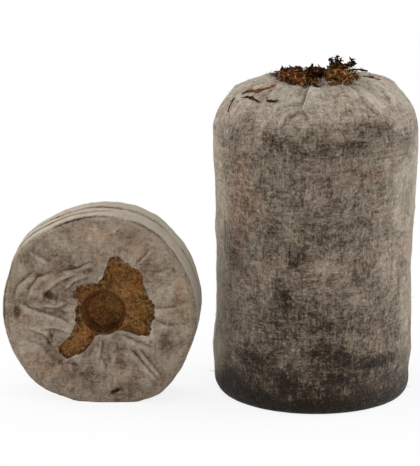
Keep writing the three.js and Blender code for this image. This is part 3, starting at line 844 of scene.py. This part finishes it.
def ragged_mouth(angle, below):
    """How far the sleeve's open edge reaches inwards and upwards."""
    degrees = np.degrees(angle)
    ragged = np.maximum(0, 1 - below / 3)
    ring = at_angle(angle, 8, 0)
    inward = noises(ring, (0.4, 2.6, 41), (0.25, 0.9, 43), noise=soft_noise) - 0.15
    inward += 0.5 * hump(degrees, -104, 13) - 0.7 * hump(degrees, -60, 12)
    tatter = hump(degrees, -81, 5) + 0.5 * hump(degrees, -101, 4)
    upward = 1.1 * hump(np.abs(degrees), 168, 14) + 0.5 * hump(degrees, -128, 20)
    upward = upward + 0.5 * soft_noise(ring, 3.4, 42)
    tatter = 1.8 * ragged * tatter * (0.6 + 0.4 * soft_noise(ring, 0.35, 46))
    return ragged * inward, ragged * (upward + tatter)


def fleece_sleeve():
    """The sleeve of the swollen pellet. Also gives the points of its outer side."""
    columns, rows, inner_rows = 420, 300, 40
    radius, height, out_r, out_z, along = swollen_profile(rows)
    angle = all_round(columns)
    base = at_angle(angle, radius, height)
    below = along[-1, 0] - along
    relief, streaks = gathers(angle, radius, height, below, base)
    folds = sleeve_folds(angle, radius, below)
    rise = np.maximum(relief + folds, -0.45) * smoothstep(height, -0.2, 2.2)
    rise += 0.6 * falling(height, 1.5, 7)
    inward, upward = ragged_mouth(angle, below)
    reach = radius + bulge(angle, height) + rise * out_r - inward
    outer = at_angle(angle, reach, height + rise * out_z + upward)
    outer[..., 2] = np.maximum(outer[..., 2], 0)
    picked = np.linspace(0, rows - 1, inner_rows).round().astype(int)
    inner = (outer - fleece_thickness * at_angle(angle, out_r, out_z))[picked][::-1]

    masks = sleeve_masks(angle, radius, height, base)
    shoulder = shoulder_share(below)
    # Ridges of the folds and streaks are painted lighter and their valleys darker: painted highlight and
    # painted shade.
    fold_light_and_shade = 0.5 * folds + (0.2 + 0.12 * shoulder) * np.clip(rise - folds, -0.3, 0.5) + 0.16 * streaks
    fold_light_and_shade -= 0.03 * shoulder * (1 + hump(np.degrees(angle), -50, 30))
    masks["cover_and_painted_light"] = np.minimum(masks["cover_and_painted_light"] + fold_light_and_shade, 0.9)
    masks = {key: np.concatenate([values, values[picked][::-1]]) for key, values in masks.items()}
    heights = np.concatenate([along[:, 0], along[picked, 0][::-1]])
    piece = shell_piece("fleece_sleeve", np.concatenate([outer, inner]), masks, heights)
    return dress(piece, "swollen_pellet", "damp_fleece", "swollen_fleece"), outer


def fibre_ends(name, rng, starts, body, slot):
    """Loose ends of fleece fibre, each from its foot, its way and its length."""
    crumbs = Crumbs()
    for foot, way, length in starts:
        path = sprig_path(rng, foot, way, length, 1.2, 6)
        path[:, 2] = np.maximum(path[:, 2], 0.05)
        crumbs.add(tube(path, np.linspace(0.045, 0.02, 6), sides=4), 0.85)
    piece = crumbs.piece(name)
    piece.data.attributes["tone"].name = "cover_and_painted_light"
    dress(piece, body, slot)


def sleeve_fuzz(outer):
    """Fibres that stand off the sleeve, many of them round its open edge."""
    fibres, at_the_edge, at_the_tatter = 420, 130, 40
    rng = np.random.default_rng(5)
    rows, columns = outer.shape[:2]
    starts = []
    for k in range(fibres):
        at_edge = k < at_the_edge
        i = rows - rng.integers(1, 4) if at_edge else rng.integers(30, rows - 6)
        j = rng.integers(columns)
        along = unit(outer[i, j] - outer[i - 2, j])
        around = unit(outer[i, (j + 1) % columns] - outer[i, j])
        out = unit(np.cross(around, along))
        slant = rng.uniform(0, full_turn)
        flat = math.cos(slant) * along + math.sin(slant) * around
        way = along + 0.5 * out + 0.6 * flat if at_edge else flat + rng.uniform(0.03, 0.16) * out
        starts.append((outer[i, j], way, rng.uniform(0.6, 1.7) if at_edge else rng.uniform(0.8, 2)))
    for _ in range(at_the_tatter):
        foot = outer[-1, int((rng.normal(-83, 5) + 180) / 360 * columns)]
        starts.append((foot, rng.normal(0, 0.35, 3) + (0, -0.25, 1), rng.uniform(0.9, 2.2)))
    fibre_ends("sleeve_fuzz", rng, starts, "swollen_pellet", "damp_fleece")


def bed_stations():
    """Radius and height along the column's outline: its foot, side and top, and the planting hole."""
    radius, height, _, _, _ = swollen_profile(110, core_inset)
    open_foot = base_mouth_radius - fleece_gap
    stations = [(r, 0) for r in np.linspace(0.5, open_foot, 14)] + [(open_foot, core_inset * 0.6)]
    stations += list(zip(radius[:, 0], height[:, 0]))
    stations += [(r, bed_height) for r in np.linspace(mouth_radius, planting_hole_radius + 0.25, 26)[1:]]
    for share in np.linspace(0, 0.985, 44):
        narrowing = (planting_hole_radius - planting_floor_radius) * share
        stations.append((planting_hole_radius - narrowing, bed_height - 0.2 - planting_depth * share))
    floor_radii = np.linspace(planting_floor_radius - 0.3, 0.3, 9)
    stations += [(r, bed_height - planting_depth) for r in floor_radii]
    return (np.array(column)[:, None] for column in zip(*stations))


def peat_bed():
    """The column of wet peat, rough but for its foot."""
    columns, side_from = 260, 12
    angle = all_round(columns)
    radius, height = bed_stations()
    is_side = radius > side_from
    rows = at_angle(angle, radius + bulge(angle, height) * is_side, height)
    rough = noises(rows, (0.22, 1.1, 81), (0.15, 3.0, 85)) - 0.05
    is_foot = (height < 0.3) & (radius < base_mouth_radius)
    rows = roughened(rows, rough * ~is_foot)
    rows[..., 2] = np.maximum(rows[..., 2], 0)
    tone = 0.3 + 0.15 * layered_noise(rows, 2.0, 88) - 0.25 * smoothstep(bed_height - height, 0.5, 6)
    dress(solid_piece("peat_bed", rows, tone), "swollen_pellet", "wet_peat", "peat_core")


def clod_point(clod, across, along, up):
    """Place within a clod's share of the ring: outwards, along the ring and upwards, each from -1 to 1."""
    turn, span, height = clod
    outer_radius = mouth_radius - fleece_gap
    middle, half = (planting_hole_radius + outer_radius) / 2, (outer_radius - planting_hole_radius) / 2
    lift = fleece_gap + height * np.maximum(0, (up + 0.5) / 1.5)
    return at_angle(np.radians(turn + along * span / 2), middle + across * half, bed_height + lift)


def loose_clod(clod, tone, sprigs, seed, tufts=0):
    """Rough lump of peat beset with crumbs, threads and curled stems of moss, and darker tufts on top."""
    grains, leaves = 46, 9
    rng = np.random.default_rng(seed)
    crumbs = Crumbs()
    points, faces = large_ball
    bumps = layered_noise(points * 3, 1.1, seed, 4)
    gaps = ridges(points * 3, 1.0, seed + 7)
    squared = np.sign(points) * np.abs(points) ** 0.8 * (1.03 + 0.22 * bumps - 0.14 * gaps)[:, None]
    lump = clod_point(clod, *squared.T)
    # The lump's tone is darker in its gaps and lighter on its bumps: painted shade and painted light.
    crumbs.add((lump, faces), tone + 0.25 * bumps - 0.28 * gaps)
    centre = lump.mean(0)
    upper, tops = (np.flatnonzero(points[:, 2] > level) for level in (-0.1, 0.8))
    for _ in range(grains):
        middle = lump[rng.choice(upper)] * 0.97 + centre * 0.03
        crumbs.add(grain(rng, middle, rng.uniform(0.16, 0.42)), tone + rng.normal(0, 0.16))
    for _ in range(sprigs):
        start = lump[rng.choice(upper)]
        out = unit(start - centre) + 0.5 * rng.normal(size=3) + (0, 0, 0.45)
        path = sprig_path(rng, start * 0.96 + centre * 0.04, out, rng.uniform(0.7, 1.6), 2.6)
        thick = rng.uniform(0.09, 0.23)
        stem = tube(path, np.linspace(thick, 0.6 * thick, 7), rng.uniform(0.5, 1), unit(rng.normal(size=3)))
        dark_tip = 0.22 * (start[2] > centre[2] + 0.4)
        crumbs.add(stem, tone - dark_tip + rng.normal(0.03, 0.18))
    for _ in range(tufts):
        foot = lump[rng.choice(tops)]
        for _ in range(leaves):
            way = (0, 0, 1) + 0.7 * rng.normal(size=3)
            leaf = sprig_path(rng, foot, way, rng.uniform(0.5, 1.3), 1.4, 5)
            crumbs.add(tube(leaf, np.linspace(0.26, 0.12, 5), sides=5), 0.14 + 0.12 * rng.normal())
    return crumbs


def loose_peat():
    """The heap round the planting hole, clod by clod: degrees, span, height, tone, stems and tufts."""
    clods = [
        ("clod_front_left", 218, 70, 0.9, 0.51, 80, 3),
        ("clod_back_left", 146, 66, 0.67, 0.4, 70, 5),
        ("clod_back", 90, 38, 0.53, 0.16, 40, 5),
        ("clod_right", 5, 38, 0.53, 0.5, 40, 0),
        ("clod_front_right", 315, 56, 1, 0.62, 80, 0),
        ("crumb_front", 269, 28, 0.55, 0.36, 34, 0),
    ]
    for k, (name, turn, span, share, tone, sprigs, tufts) in enumerate(clods):
        crumbs = loose_clod((turn, span, share * heap_height), tone, sprigs, 100 + 10 * k, tufts)
        crumbs.keep_within("peat_" + name, 1.2)
        dress(crumbs.piece("loose_" + name), "swollen_pellet", "loose_peat", "peat_" + name)


def moss_crest():
    """Clod with forked stems of moss that stand up from it."""
    steps, twigs, dark_above = 9, 5, 71
    rng = np.random.default_rng(77)
    crumbs = loose_clod((47, 38, 0.6 * heap_height), 0.52, 40, 170)
    stems = [
        [(4.5, 4.9, 68.6), (4.4, 4.9, 70.2), (4.6, 4.9, 71.6), (4.7, 4.9, 72.7)],
        [(4.2, 4.9, 69.6), (4, 4.8, 71.2), (3.6, 4.8, 72), (3.4, 4.8, 72.4)],
        [(4.7, 4.9, 70.2), (5.2, 5, 71.3), (5.5, 5, 72)],
        [(4.9, 4.9, 69.8), (6.1, 4.9, 70.8), (7.1, 4.9, 71.2), (7.9, 4.9, 71.6), (7.9, 4.9, 72.1)],
        [(7.2, 4.9, 71.2), (8.3, 4.8, 71.4)],
        [(4.2, 4.7, 69.4), (3.8, 4.5, 70.4), (3.4, 4.4, 71.1)],
        [(4.9, 4.6, 69), (5.2, 4.5, 70), (5.4, 4.4, 70.8)],
    ]
    for stem in stems:
        path = smooth_path(stem, steps)
        thick = np.linspace(0.7, 0.22, steps) * rng.uniform(0.8, 1.2, steps)
        crumbs.add(tube(path, thick, 0.85, (0, 1, 0)), 0.2)
        for point, step in zip(path[1:], np.diff(path, axis=0)):
            for _ in range(twigs):
                way = unit(step) + (0, 0, 0.35) + 0.85 * rng.normal(size=3)
                twig = sprig_path(rng, point, way, rng.uniform(0.6, 1.25), 1.2, 6)
                tone = 0.34 - 0.16 * (point[2] > dark_above) + 0.15 * rng.normal()
                crumbs.add(tube(twig, np.linspace(0.2, 0.08, 6), sides=5), tone)
    crumbs.keep_within("moss_tuft", 1.0)
    dress(crumbs.piece("moss_crest"), "swollen_pellet", "loose_peat", "moss_tuft")


def splinter(rng, path, radius, out, tones):
    """Rough flat sliver along a path, with strands that peel off it. Its tones are those of its ends."""
    sides, strands = 9, 12
    crumbs = Crumbs()
    steps = len(path)
    first, change = tones[0], tones[1] - tones[0]
    swell = np.sin(np.linspace(0.15, math.pi - 0.1, steps)) ** 0.5
    points, faces = tube(path, radius * swell * rng.uniform(0.55, 1.4, steps), 0.55, out, sides)
    points = points + 0.3 * radius * layered_noise(points, 0.5, 9)[:, None] * out
    behind = np.concatenate([np.repeat(np.linspace(0, 1, steps - 2), sides), [0, 1]])
    crumbs.add((points, faces), first + change * behind + 0.2 * layered_noise(points, 0.6, 12))
    for _ in range(strands):
        k = rng.integers(2, steps - 3)
        way = unit(path[k + 1] - path[k]) * rng.choice([-1, 1]) + 0.25 * rng.normal(size=3)
        strand = sprig_path(rng, path[k] + 0.3 * radius * out, way, rng.uniform(0.8, 1.8), 0.6, 6)
        shape = tube(strand, np.linspace(0.12, 0.05, 6), 0.8, out, 5)
        crumbs.add(shape, first + change * k / steps + rng.normal(0.05, 0.1))
    return crumbs


def on_shoulder(surface, degrees, shoulder_degrees, rise):
    """Place over the sleeve's folds, from degrees round it and up the shoulder's curve, and the way out."""
    turn, angle = math.radians(shoulder_degrees), math.radians(degrees)
    out = at_angle(angle, *unit(np.array([shoulder_drop * math.cos(turn), shoulder_width * math.sin(turn)])))
    radius, height = mouth_radius + shoulder_width * math.cos(turn), side_top + shoulder_drop * math.sin(turn)
    point = at_angle(angle, radius, height)
    off = surface - point
    nearby, percent_below = 1.4, 70
    near = np.linalg.norm(off, axis=-1) < nearby
    return point + out * (np.percentile((off[near] * out).sum(-1), percent_below) + rise), out


def bits_on_the_shoulder(surface):
    """Splinter of root and dark flakes, along paths in degrees round the sleeve and up its shoulder."""
    bits = [
        ("root_splinter", "root_fibre", 0.48, (0.12, 0.72)),
        ("flake_left", "peat_flake_left", 0.36, (0.04, 0.1)),
        ("flake_front_left", "peat_flake_front_left", 0.34, (0.2, 0.06)),
        ("sliver_left", "peat_sliver_left", 0.24, (0.3, 0.2)),
        ("flake_back_right", "peat_flake_back_right", 0.5, (0.04, 0.08)),
        ("sliver_right", "peat_sliver_right", 0.28, (0.2, 0.14)),
    ]
    paths = [
        [(200.8, 52), (204, 59), (212.8, 63.5), (217.8, 76), (218.8, 82)],
        [(206.5, 51), (212, 52), (217, 51.4), (225, 49.6)],
        [(229.7, 53), (234.5, 52.3), (239.5, 52.2)],
        [(202, 28.4), (199, 34.2), (197.5, 40.4), (197.2, 46.4)],
        [(45, 84), (38, 77), (31, 71)],
        [(0.5, 84), (359, 78.8), (356.3, 70.5)],
    ]
    for k, ((name, node, radius, tones), path) in enumerate(zip(bits, paths)):
        slot = "root" if node == "root_fibre" else "loose_peat"
        lift = 0.3 * radius + 0.35 * (name == "flake_back_right")
        places, ways = zip(*(on_shoulder(surface, degrees, up, lift) for degrees, up in path))
        line = smooth_path(places, 26)
        crumbs = splinter(np.random.default_rng(300 + k), line, radius, unit(ways[1]), tones)
        dress(crumbs.piece(name), "swollen_pellet", slot, node)


# Dry pellet, made lying down with its open face up and then stood on its rim

def tear_reach(angle):
    """How far the torn hole reaches from the dimple's middle."""
    ends, past = (np.array(column, float) for column in zip(*tear, (tear[0][0] + 360, tear[0][1])))
    wanted = (np.degrees(angle) - ends[0]) % 360 + ends[0]
    k = np.clip(np.searchsorted(ends, wanted, side="right") - 1, 0, len(tear) - 1)
    return dimple_radius + past[k] + (past[k + 1] - past[k]) * smoothstep(wanted, ends[k], ends[k + 1])


def above_flat(points, lift=0.0):
    """Stops a lying pellet's points at the flat edge that it stands on."""
    points[..., 1] = np.maximum(points[..., 1], lift - flat_distance)
    return points


def face_relief(rows, from_mouth, side):
    """Rise of one face's folds, gathers and lumps."""
    x, y = rows[..., 0], rows[..., 1]
    reach = np.hypot(x, y)
    places = rows + (0, 0, 3 * side)
    gathered = at_angle(np.arctan2(y, x - dimple_offset * (side > 0)), 9, reach * 0.16 + 20 * side)
    fade = smoothstep(reach, dry_radius, dry_radius - 2.5)
    rise = fade * (noises(gathered, (0.3, 3.0, 203), (0.12, 1.2, 205), noise=ridges) - 0.189)
    rise += fade * (noises(places, (0.13, 2.0, 222), (0.08, 0.9, 224), noise=ridges) - 0.084)
    rise += noises(places, (0.22, 5.0, 211), (0.09, 1.7, 215), (0.06, 0.7, 218, 2))
    if side > 0:
        for path, height, width in face_folds:
            rise += fold_rise(path, x, y, height, width)
        rise += 0.22 * np.exp(-from_mouth / 0.8) * (0.6 + soft_noise(places, 1.8, 221))
    return np.maximum(rise, -0.22)


def rim_inset(angle, z, places):
    """How far the rim lies inside the full radius, by its edges, plies and lumps. Also the shade painted into
    its grooves and along the lip at the face's edge.
    """
    degrees = np.degrees(angle)
    ring = at_angle(angle, 8, 0)
    width = 2 * dry_half
    share = (z + dry_half) / width
    inset = 0.2 + 0.9 * falling(dry_half - np.abs(z), 0, 1.1) ** 2
    dark = 0 * inset
    for k, (line, turn, deeper) in enumerate(ply_grooves):
        middle = line + noises(ring, (0.035, 5.0, 231 + k), (0.012, 1.3, 235 + k), noise=soft_noise)
        off = (share - middle) * width
        depth = 0.22 + deeper * np.maximum(0, np.cos(np.radians(degrees - turn))) ** 2
        depth = np.clip(depth + 0.3 * soft_noise(ring, 4.0, 238 + k), 0.1, 1.1)
        inset = inset + depth * (0.45 * hump(off, 0, 0.3) - 0.25 * falling(off, -0.5, -0.1))
        # The far side of each of the grooves is darkened: painted shade.
        dark = np.maximum(dark, np.minimum(1, 1.2 * depth) * hump(off, -0.15, 0.24))
    edge = 0.945 + 0.012 * soft_noise(ring, 3.0, 241)
    # The lip along the face's edge is a real step, and is also darkened as painted shade, most near the top.
    lip = hump((share - edge) * width, 0, 0.24)
    lip = lip * (0.4 + 0.6 * smoothstep(np.cos(np.radians(degrees - 98)), 0, 0.8))
    inset = inset + 0.4 * lip - noises(places, (0.2, 6.0, 245), (0.1, 1.8, 247), (-0.05, 0.7, 249, 2))
    for turn, half_turn, rise in rim_lumps:
        inset = inset - rise * hump(degrees_past(degrees, turn), 0, half_turn)
    return np.minimum(inset, 1.4), np.maximum(dark, 0.9 * lip)


def dry_mouths(angle):
    """The edges of the torn hole and of the gathered opening at the back, and how far the hole reaches."""
    ring = at_angle(angle, 9, 0)
    ragged = noises(ring, (0.38, 1.9, 251), (0.3, 0.8, 253), (0.2, 0.4, 255), noise=soft_noise)
    past = tear_reach(angle) - dimple_radius
    torn_reach = dimple_radius + np.maximum(past - 0.3 + ragged * np.clip(past / 3, 0.3, 1), 0.12)
    back_reach = back_mouth_radius + noises(ring, (0.5, 2.4, 257), (0.25, 0.8, 258), noise=soft_noise)
    torn = at_angle(angle, torn_reach, dry_half) + (dimple_offset, 0, 0)
    return torn, at_angle(angle, back_reach, -dry_half), torn_reach


def dry_face(edge, mouth, side):
    """Rows of a face from the rim's edge to the mouth. Side is 1 in front and -1 at the back."""
    count = 84
    share = np.linspace(0, 1, count)[1:, None, None]
    rows = edge[None] * (1 - share) + mouth * share
    rows[..., 2] = side * dry_half
    rise = face_relief(rows, np.linalg.norm(rows - mouth, axis=-1), side)
    rows[..., 2] += side * rise * smoothstep(np.arange(1, count)[:, None], 0, 5)
    return rows


def dry_lining(angle, mouth, side):
    """Rows of the inner side of a face, from its mouth back to the rim."""
    share = np.linspace(0, 1, 12)[:, None, None]
    height = side * (dry_half - fleece_thickness)
    rows = mouth * (1 - share) + at_angle(angle, dry_radius - rim_wall, height) * share
    rows[..., 2] = height
    rows[0, :, 2] = mouth[:, 2] - side * fleece_thickness
    return rows


def dry_masks(rows, rim, rim_painted_shade, torn_reach):
    """How well the fleece covers the dry peat, with painted shade in the rim's grooves and painted light and
    shade on the faces' folds, and its tinges. The rim is a slice of the rows.
    """
    x, y, z = np.moveaxis(rows, -1, 0)
    row = np.arange(len(rows))[:, None]
    is_rim, is_front = (row >= rim.start) & (row < rim.stop), row >= rim.stop
    wander = 0.45 * layered_noise(rows, 1.5, 261)
    rim_share = is_rim * falling(z, dry_half - 0.9, dry_half - 0.6)
    groove_shade = np.zeros(rows.shape[:2])
    groove_shade[rim] = rim_painted_shade
    groove_shade *= np.clip(0.7 + 1.1 * layered_noise(rows, 5.0, 269), 0.15, 1.2)
    near_mouth = np.exp(-np.abs(np.hypot(x - dimple_offset, y) - torn_reach) / 0.9)
    cover_and_painted_light = 0.55 - 0.03 * smoothstep(y, -14, -6) + 0.1 * smoothstep(y, 4, 16)
    cover_and_painted_light += noises(rows, (0.12, 4.0, 265), (0.06, 1.3, 267))
    cover_and_painted_light += rim_share * (0.36 + 0.1 * smoothstep(x, 6, 18)) - 0.85 * groove_shade
    cover_and_painted_light -= is_front * (0.55 * np.clip(blots(face_dust, x, y, wander), 0, 1.2) - 0.2 * near_mouth)
    # Raised folds of the faces are painted lighter and their hollows darker: painted highlight and painted
    # shade.
    cover_and_painted_light += 0.85 * ~is_rim * np.clip(np.abs(z) - dry_half, -0.25, 0.4)
    return {
        "cover_and_painted_light": cover_and_painted_light,
        "rusty": is_front * 0.7 * np.clip(blots(face_rosy, x, y, wander), 0, 1),
        "greenish": 0.85 * np.clip(is_front * blots(face_greenish, x, y, wander), 0, 1),
    }


def dry_sleeve():
    """The folded sleeve: back, rim, torn face, and the lining behind them. Also gives the face's points."""
    columns, rim_rows, inside_rows, inside_corner = 420, 110, 8, 0.6
    angle = all_round(columns)
    rim_z = np.linspace(-dry_half, dry_half, rim_rows)[:, None]
    inset, rim_painted_shade = rim_inset(angle, rim_z, at_angle(angle, dry_radius, rim_z))
    rim = above_flat(at_angle(angle, dry_radius - inset, rim_z))
    torn, back_mouth, torn_reach = dry_mouths(angle)
    front = dry_face(rim[-1], torn, 1)
    back = dry_face(rim[0], back_mouth, -1)[::-1]
    inside_z = np.linspace(dry_half - inside_corner, inside_corner - dry_half, inside_rows)[:, None]
    inside_rim = at_angle(angle, dry_radius - rim_wall, inside_z)
    inside = (dry_lining(angle, front[-1], 1), inside_rim, dry_lining(angle, back[0], -1)[::-1])
    rows = np.concatenate([back, rim, front, *(above_flat(part, rim_wall) for part in inside)])
    masks = dry_masks(rows, slice(len(back), len(back) + rim_rows), rim_painted_shade, torn_reach)
    along = np.concatenate([[0], np.cumsum(np.linalg.norm(np.diff(rows, axis=0), axis=-1).mean(1))])
    piece = shell_piece("dry_sleeve", rows, masks, along, dry_place)
    return dress(piece, "dry_pellet", "dry_fleece", "dry_fleece"), front


def torn_fringe(front):
    """Fibres that stick out of the torn edge round the dimple, and a few loose ones on the face."""
    fibres, at_the_edge = 300, 160
    rng = np.random.default_rng(8)
    rows, columns = front.shape[:2]
    turn, shift = np.array(dry_place.to_3x3()), np.array(dry_place.translation) / mm
    starts = []
    for k in range(fibres):
        at_edge = k < at_the_edge
        i = rows - 1 if at_edge else rng.integers(6, rows - 3)
        j = rng.integers(columns)
        slant = rng.uniform(0, full_turn)
        flat = np.array([math.cos(slant), math.sin(slant), 0])
        inward = unit(front[i, j] - front[i - 2, j]) + 1.1 * flat + (0, 0, 0.05)
        way = inward if at_edge else flat + (0, 0, rng.uniform(0.02, 0.2))
        length = 0.4 + 2 * rng.random() ** 2.5 if at_edge else rng.uniform(1, 2.4)
        starts.append((turn @ front[i, j] + shift, turn @ way, length))
    fibre_ends("torn_fringe", rng, starts, "dry_pellet", "dry_fleece")


def puck_stations(half):
    """Shift, radius and height along the puck's outline: back, rim, face, and the dimple's wall and floor."""
    edge_radius = dry_radius - rim_wall - fleece_gap
    face_radius = edge_radius - 0.8
    stations = [(0, radius, -half) for radius in np.linspace(0.6, face_radius, 24)]
    stations += [(0, edge_radius, height) for height in np.linspace(0.8 - half, half - 0.8, 16)]
    for share in np.linspace(0, 1, 96):
        radius = face_radius + (dimple_radius + 0.3 - face_radius) * share
        stations.append((dimple_offset * share, radius, half))
    for share in np.linspace(0.02, 1, 44):
        radius = dimple_radius + (dimple_floor_radius - dimple_radius) * share + 0.2 * math.exp(-24 * share)
        stations.append((dimple_offset, radius, half - 0.05 - (dimple_depth - 0.5) * share))
    for radius in np.linspace(dimple_floor_radius - 0.2, 0.25, 18):
        dip = 0.5 * falling(radius, 2, dimple_floor_radius)
        stations.append((dimple_offset, radius, half - dimple_depth + 0.5 - dip))
    return (np.array(column)[:, None] for column in zip(*stations))


def pressed_puck():
    """The puck of pressed peat, grainy where the fleece is torn, with its dimple."""
    columns = 300
    half = dry_half - core_inset
    shift, radius, height = puck_stations(half)
    down = half - height
    rows = at_angle(all_round(columns), radius, height)
    rows[..., 0] += shift
    rows[..., 1] -= 0.5 * smoothstep(down, 0.3, dimple_depth - 0.5) * (height > 0)
    rows = above_flat(rows, rim_wall + fleece_gap)
    from_dimple = np.hypot(rows[..., 0] - dimple_offset, rows[..., 1]) - dimple_radius
    in_dimple = falling(from_dimple, 0.1, 0.4)
    rough = noises(rows, (0.12, 1.3, 271, 4), (0.12, 4.0, 279)) + 0.1 * (ridges(rows, 1.0, 275) - 0.5)
    rough = rough * (1 - 0.65 * in_dimple)
    rows = roughened(rows, rough)
    x, y = rows[..., 0], rows[..., 1]
    # The tone follows the roughness, darker in hollows and lighter on raised grains: painted shade and
    # painted light.
    tone = 0.52 + 0.14 * layered_noise(rows, 2.6, 281) + 0.8 * rough
    tone += blots([(6.5, 2, 4, 8, 0.1), (-5.4, -7, 5, 4, 0.12)], x, y, 0)
    # The dimple's wall is darkened, most at its bottom and left: painted shade in the recess.
    on_wall = smoothstep(down, 0, 0.4) * (down < dimple_depth - 0.6)
    dimple_wall_shade = 0.1 + 0.22 * falling(y, -3.6, -2.2) + 0.08 * falling(x, -3, -1)
    tone = np.where(height > 0, tone + in_dimple * (0.06 - dimple_wall_shade * on_wall), 0.4)
    dress(solid_piece("pressed_puck", rows, tone, dry_place), "dry_pellet", "dry_peat", "peat_puck")


def loose_dust():
    """Crumbs that lie on the puck where it is bare."""
    grains = 260
    rng = np.random.default_rng(21)
    crumbs = Crumbs()
    for _ in range(grains):
        angle = rng.uniform(-math.pi, math.pi)
        reach = rng.uniform(dimple_radius + 0.3, tear_reach(angle) + 0.4)
        middle = at_angle(angle, reach, dry_half - core_inset + 0.12) + (dimple_offset, 0, 0)
        crumbs.add(grain(rng, middle, rng.uniform(0.08, 0.24)), rng.normal(0.55, 0.22))
    dress(crumbs.piece("peat_dust", dry_place), "dry_pellet", "dry_peat")


def flake_on_the_face():
    height = dry_half + fleece_gap + 0.2
    path = smooth_path([(2.7, -17.6, height), (3.6, -17.3, height), (4.5, -16.8, height)], 18)
    crumbs = splinter(np.random.default_rng(31), path, 0.32, np.array([0, 0, 1.0]), (0.15, 0.25))
    dress(crumbs.piece("face_flake", dry_place), "dry_pellet", "loose_peat", "dry_peat_flake")


sleeve, sleeve_surface = fleece_sleeve()
sleeve_fuzz(sleeve_surface)
peat_bed()
loose_peat()
moss_crest()
bits_on_the_shoulder(sleeve_surface)
folded_sleeve, folded_face = dry_sleeve()
torn_fringe(folded_face)
pressed_puck()
loose_dust()
flake_on_the_face()


# Studio: floor, light and camera

# Each lamp's place and size in metres, and its power in watts
lamps = [
    ("overhead", (-0.02, -0.1, 0.8), 0.65, 3.1),
    ("left_side", (-0.66, 0.22, 0.22), 0.5, 3.3),
    ("right_side", (0.66, 0.14, 0.28), 0.5, 3.0),
    ("front", (0.1, -0.9, 0.45), 0.5, 1.35),
]
lit_point = Vector((-0.02, 0, 0.035))
camera_target = Vector((-0.0228, 0, 0.03487))
camera_elevation = math.radians(14)
camera_distance = 0.48
camera_lens = 169.46
floor_reach = 3.0
floor_drop = 0.02 * mm


def seen_directly(nodes):
    """1 for rays that reach the eye straight or by a mirror or glass, 0 for light that falls on things."""
    path = nodes.make("ShaderNodeLightPath", {})
    mirrored = nodes.maths("MAXIMUM", path["Is Glossy Ray"], path["Is Transmission Ray"])
    return nodes.maths("MAXIMUM", path["Is Camera Ray"], mirrored)


def floor():
    """Pale floor that looks white, and keeps a soft shadow near the object."""
    shadow_reach, plain_from = 150, 500
    mesh = bpy.data.meshes.new("floor")
    corners = [(x * floor_reach, y * floor_reach, 0) for x, y in ((-1, -1), (1, -1), (1, 1), (-1, 1))]
    mesh.from_pydata(corners, [], [(0, 1, 2, 3)])
    slab = new_object("floor", mesh)
    slab.location.z = -floor_drop
    material, nodes, shader = new_material("pale floor", 0, 0.95)
    shader.inputs["Base Color"].default_value = (0.9, 0.9, 0.9, 1)
    glow = nodes.make("ShaderNodeEmission", {"Color": (1, 1, 1, 1), "Strength": 1.0})[0]
    from_middle = nodes.make("ShaderNodeVectorMath", {0: nodes.place()}, operation="LENGTH")["Value"]
    whiteness = nodes.rescale(from_middle, shadow_reach, plain_from, 0.85, 1.0)
    share = nodes.maths("MULTIPLY", seen_directly(nodes), whiteness)
    both = nodes.make("ShaderNodeMixShader", {0: share, 1: shader.outputs[0], 2: glow})[0]
    nodes.set(material.node_tree.nodes["Material Output"].inputs["Surface"], both)
    slab.data.materials.append(material)


def surroundings():
    """White behind the object, and an even, softer light from all round."""
    even_light = 0.38
    world = bpy.data.worlds.new("studio")
    bpy.context.scene.world = world
    world.use_nodes = True
    nodes = Nodes(world.node_tree)
    backdrop = world.node_tree.nodes["Background"].inputs
    backdrop["Color"].default_value = (1, 1, 1, 1)
    nodes.set(backdrop["Strength"], nodes.times_plus(seen_directly(nodes), 1 - even_light, even_light))


def lamp(name, place, size, power):
    light = bpy.data.lights.new(name, "AREA")
    light.size = size
    light.energy = power
    holder = new_object(name, light)
    holder.location = place
    holder.rotation_euler = (lit_point - Vector(place)).to_track_quat("-Z", "Y").to_euler()


def camera():
    data = bpy.data.cameras.new("camera")
    data.lens = camera_lens
    data.sensor_width = 36
    data.clip_start = 0.01
    holder = new_object("camera", data)
    back = Vector((0, -math.cos(camera_elevation), math.sin(camera_elevation)))
    holder.location = camera_target + camera_distance * back
    holder.rotation_euler = (math.pi / 2 - camera_elevation, 0, 0)
    bpy.context.scene.camera = holder


floor()
surroundings()
for settings in lamps:
    lamp(*settings)
camera()
bpy.context.scene.view_settings.view_transform = "Standard"
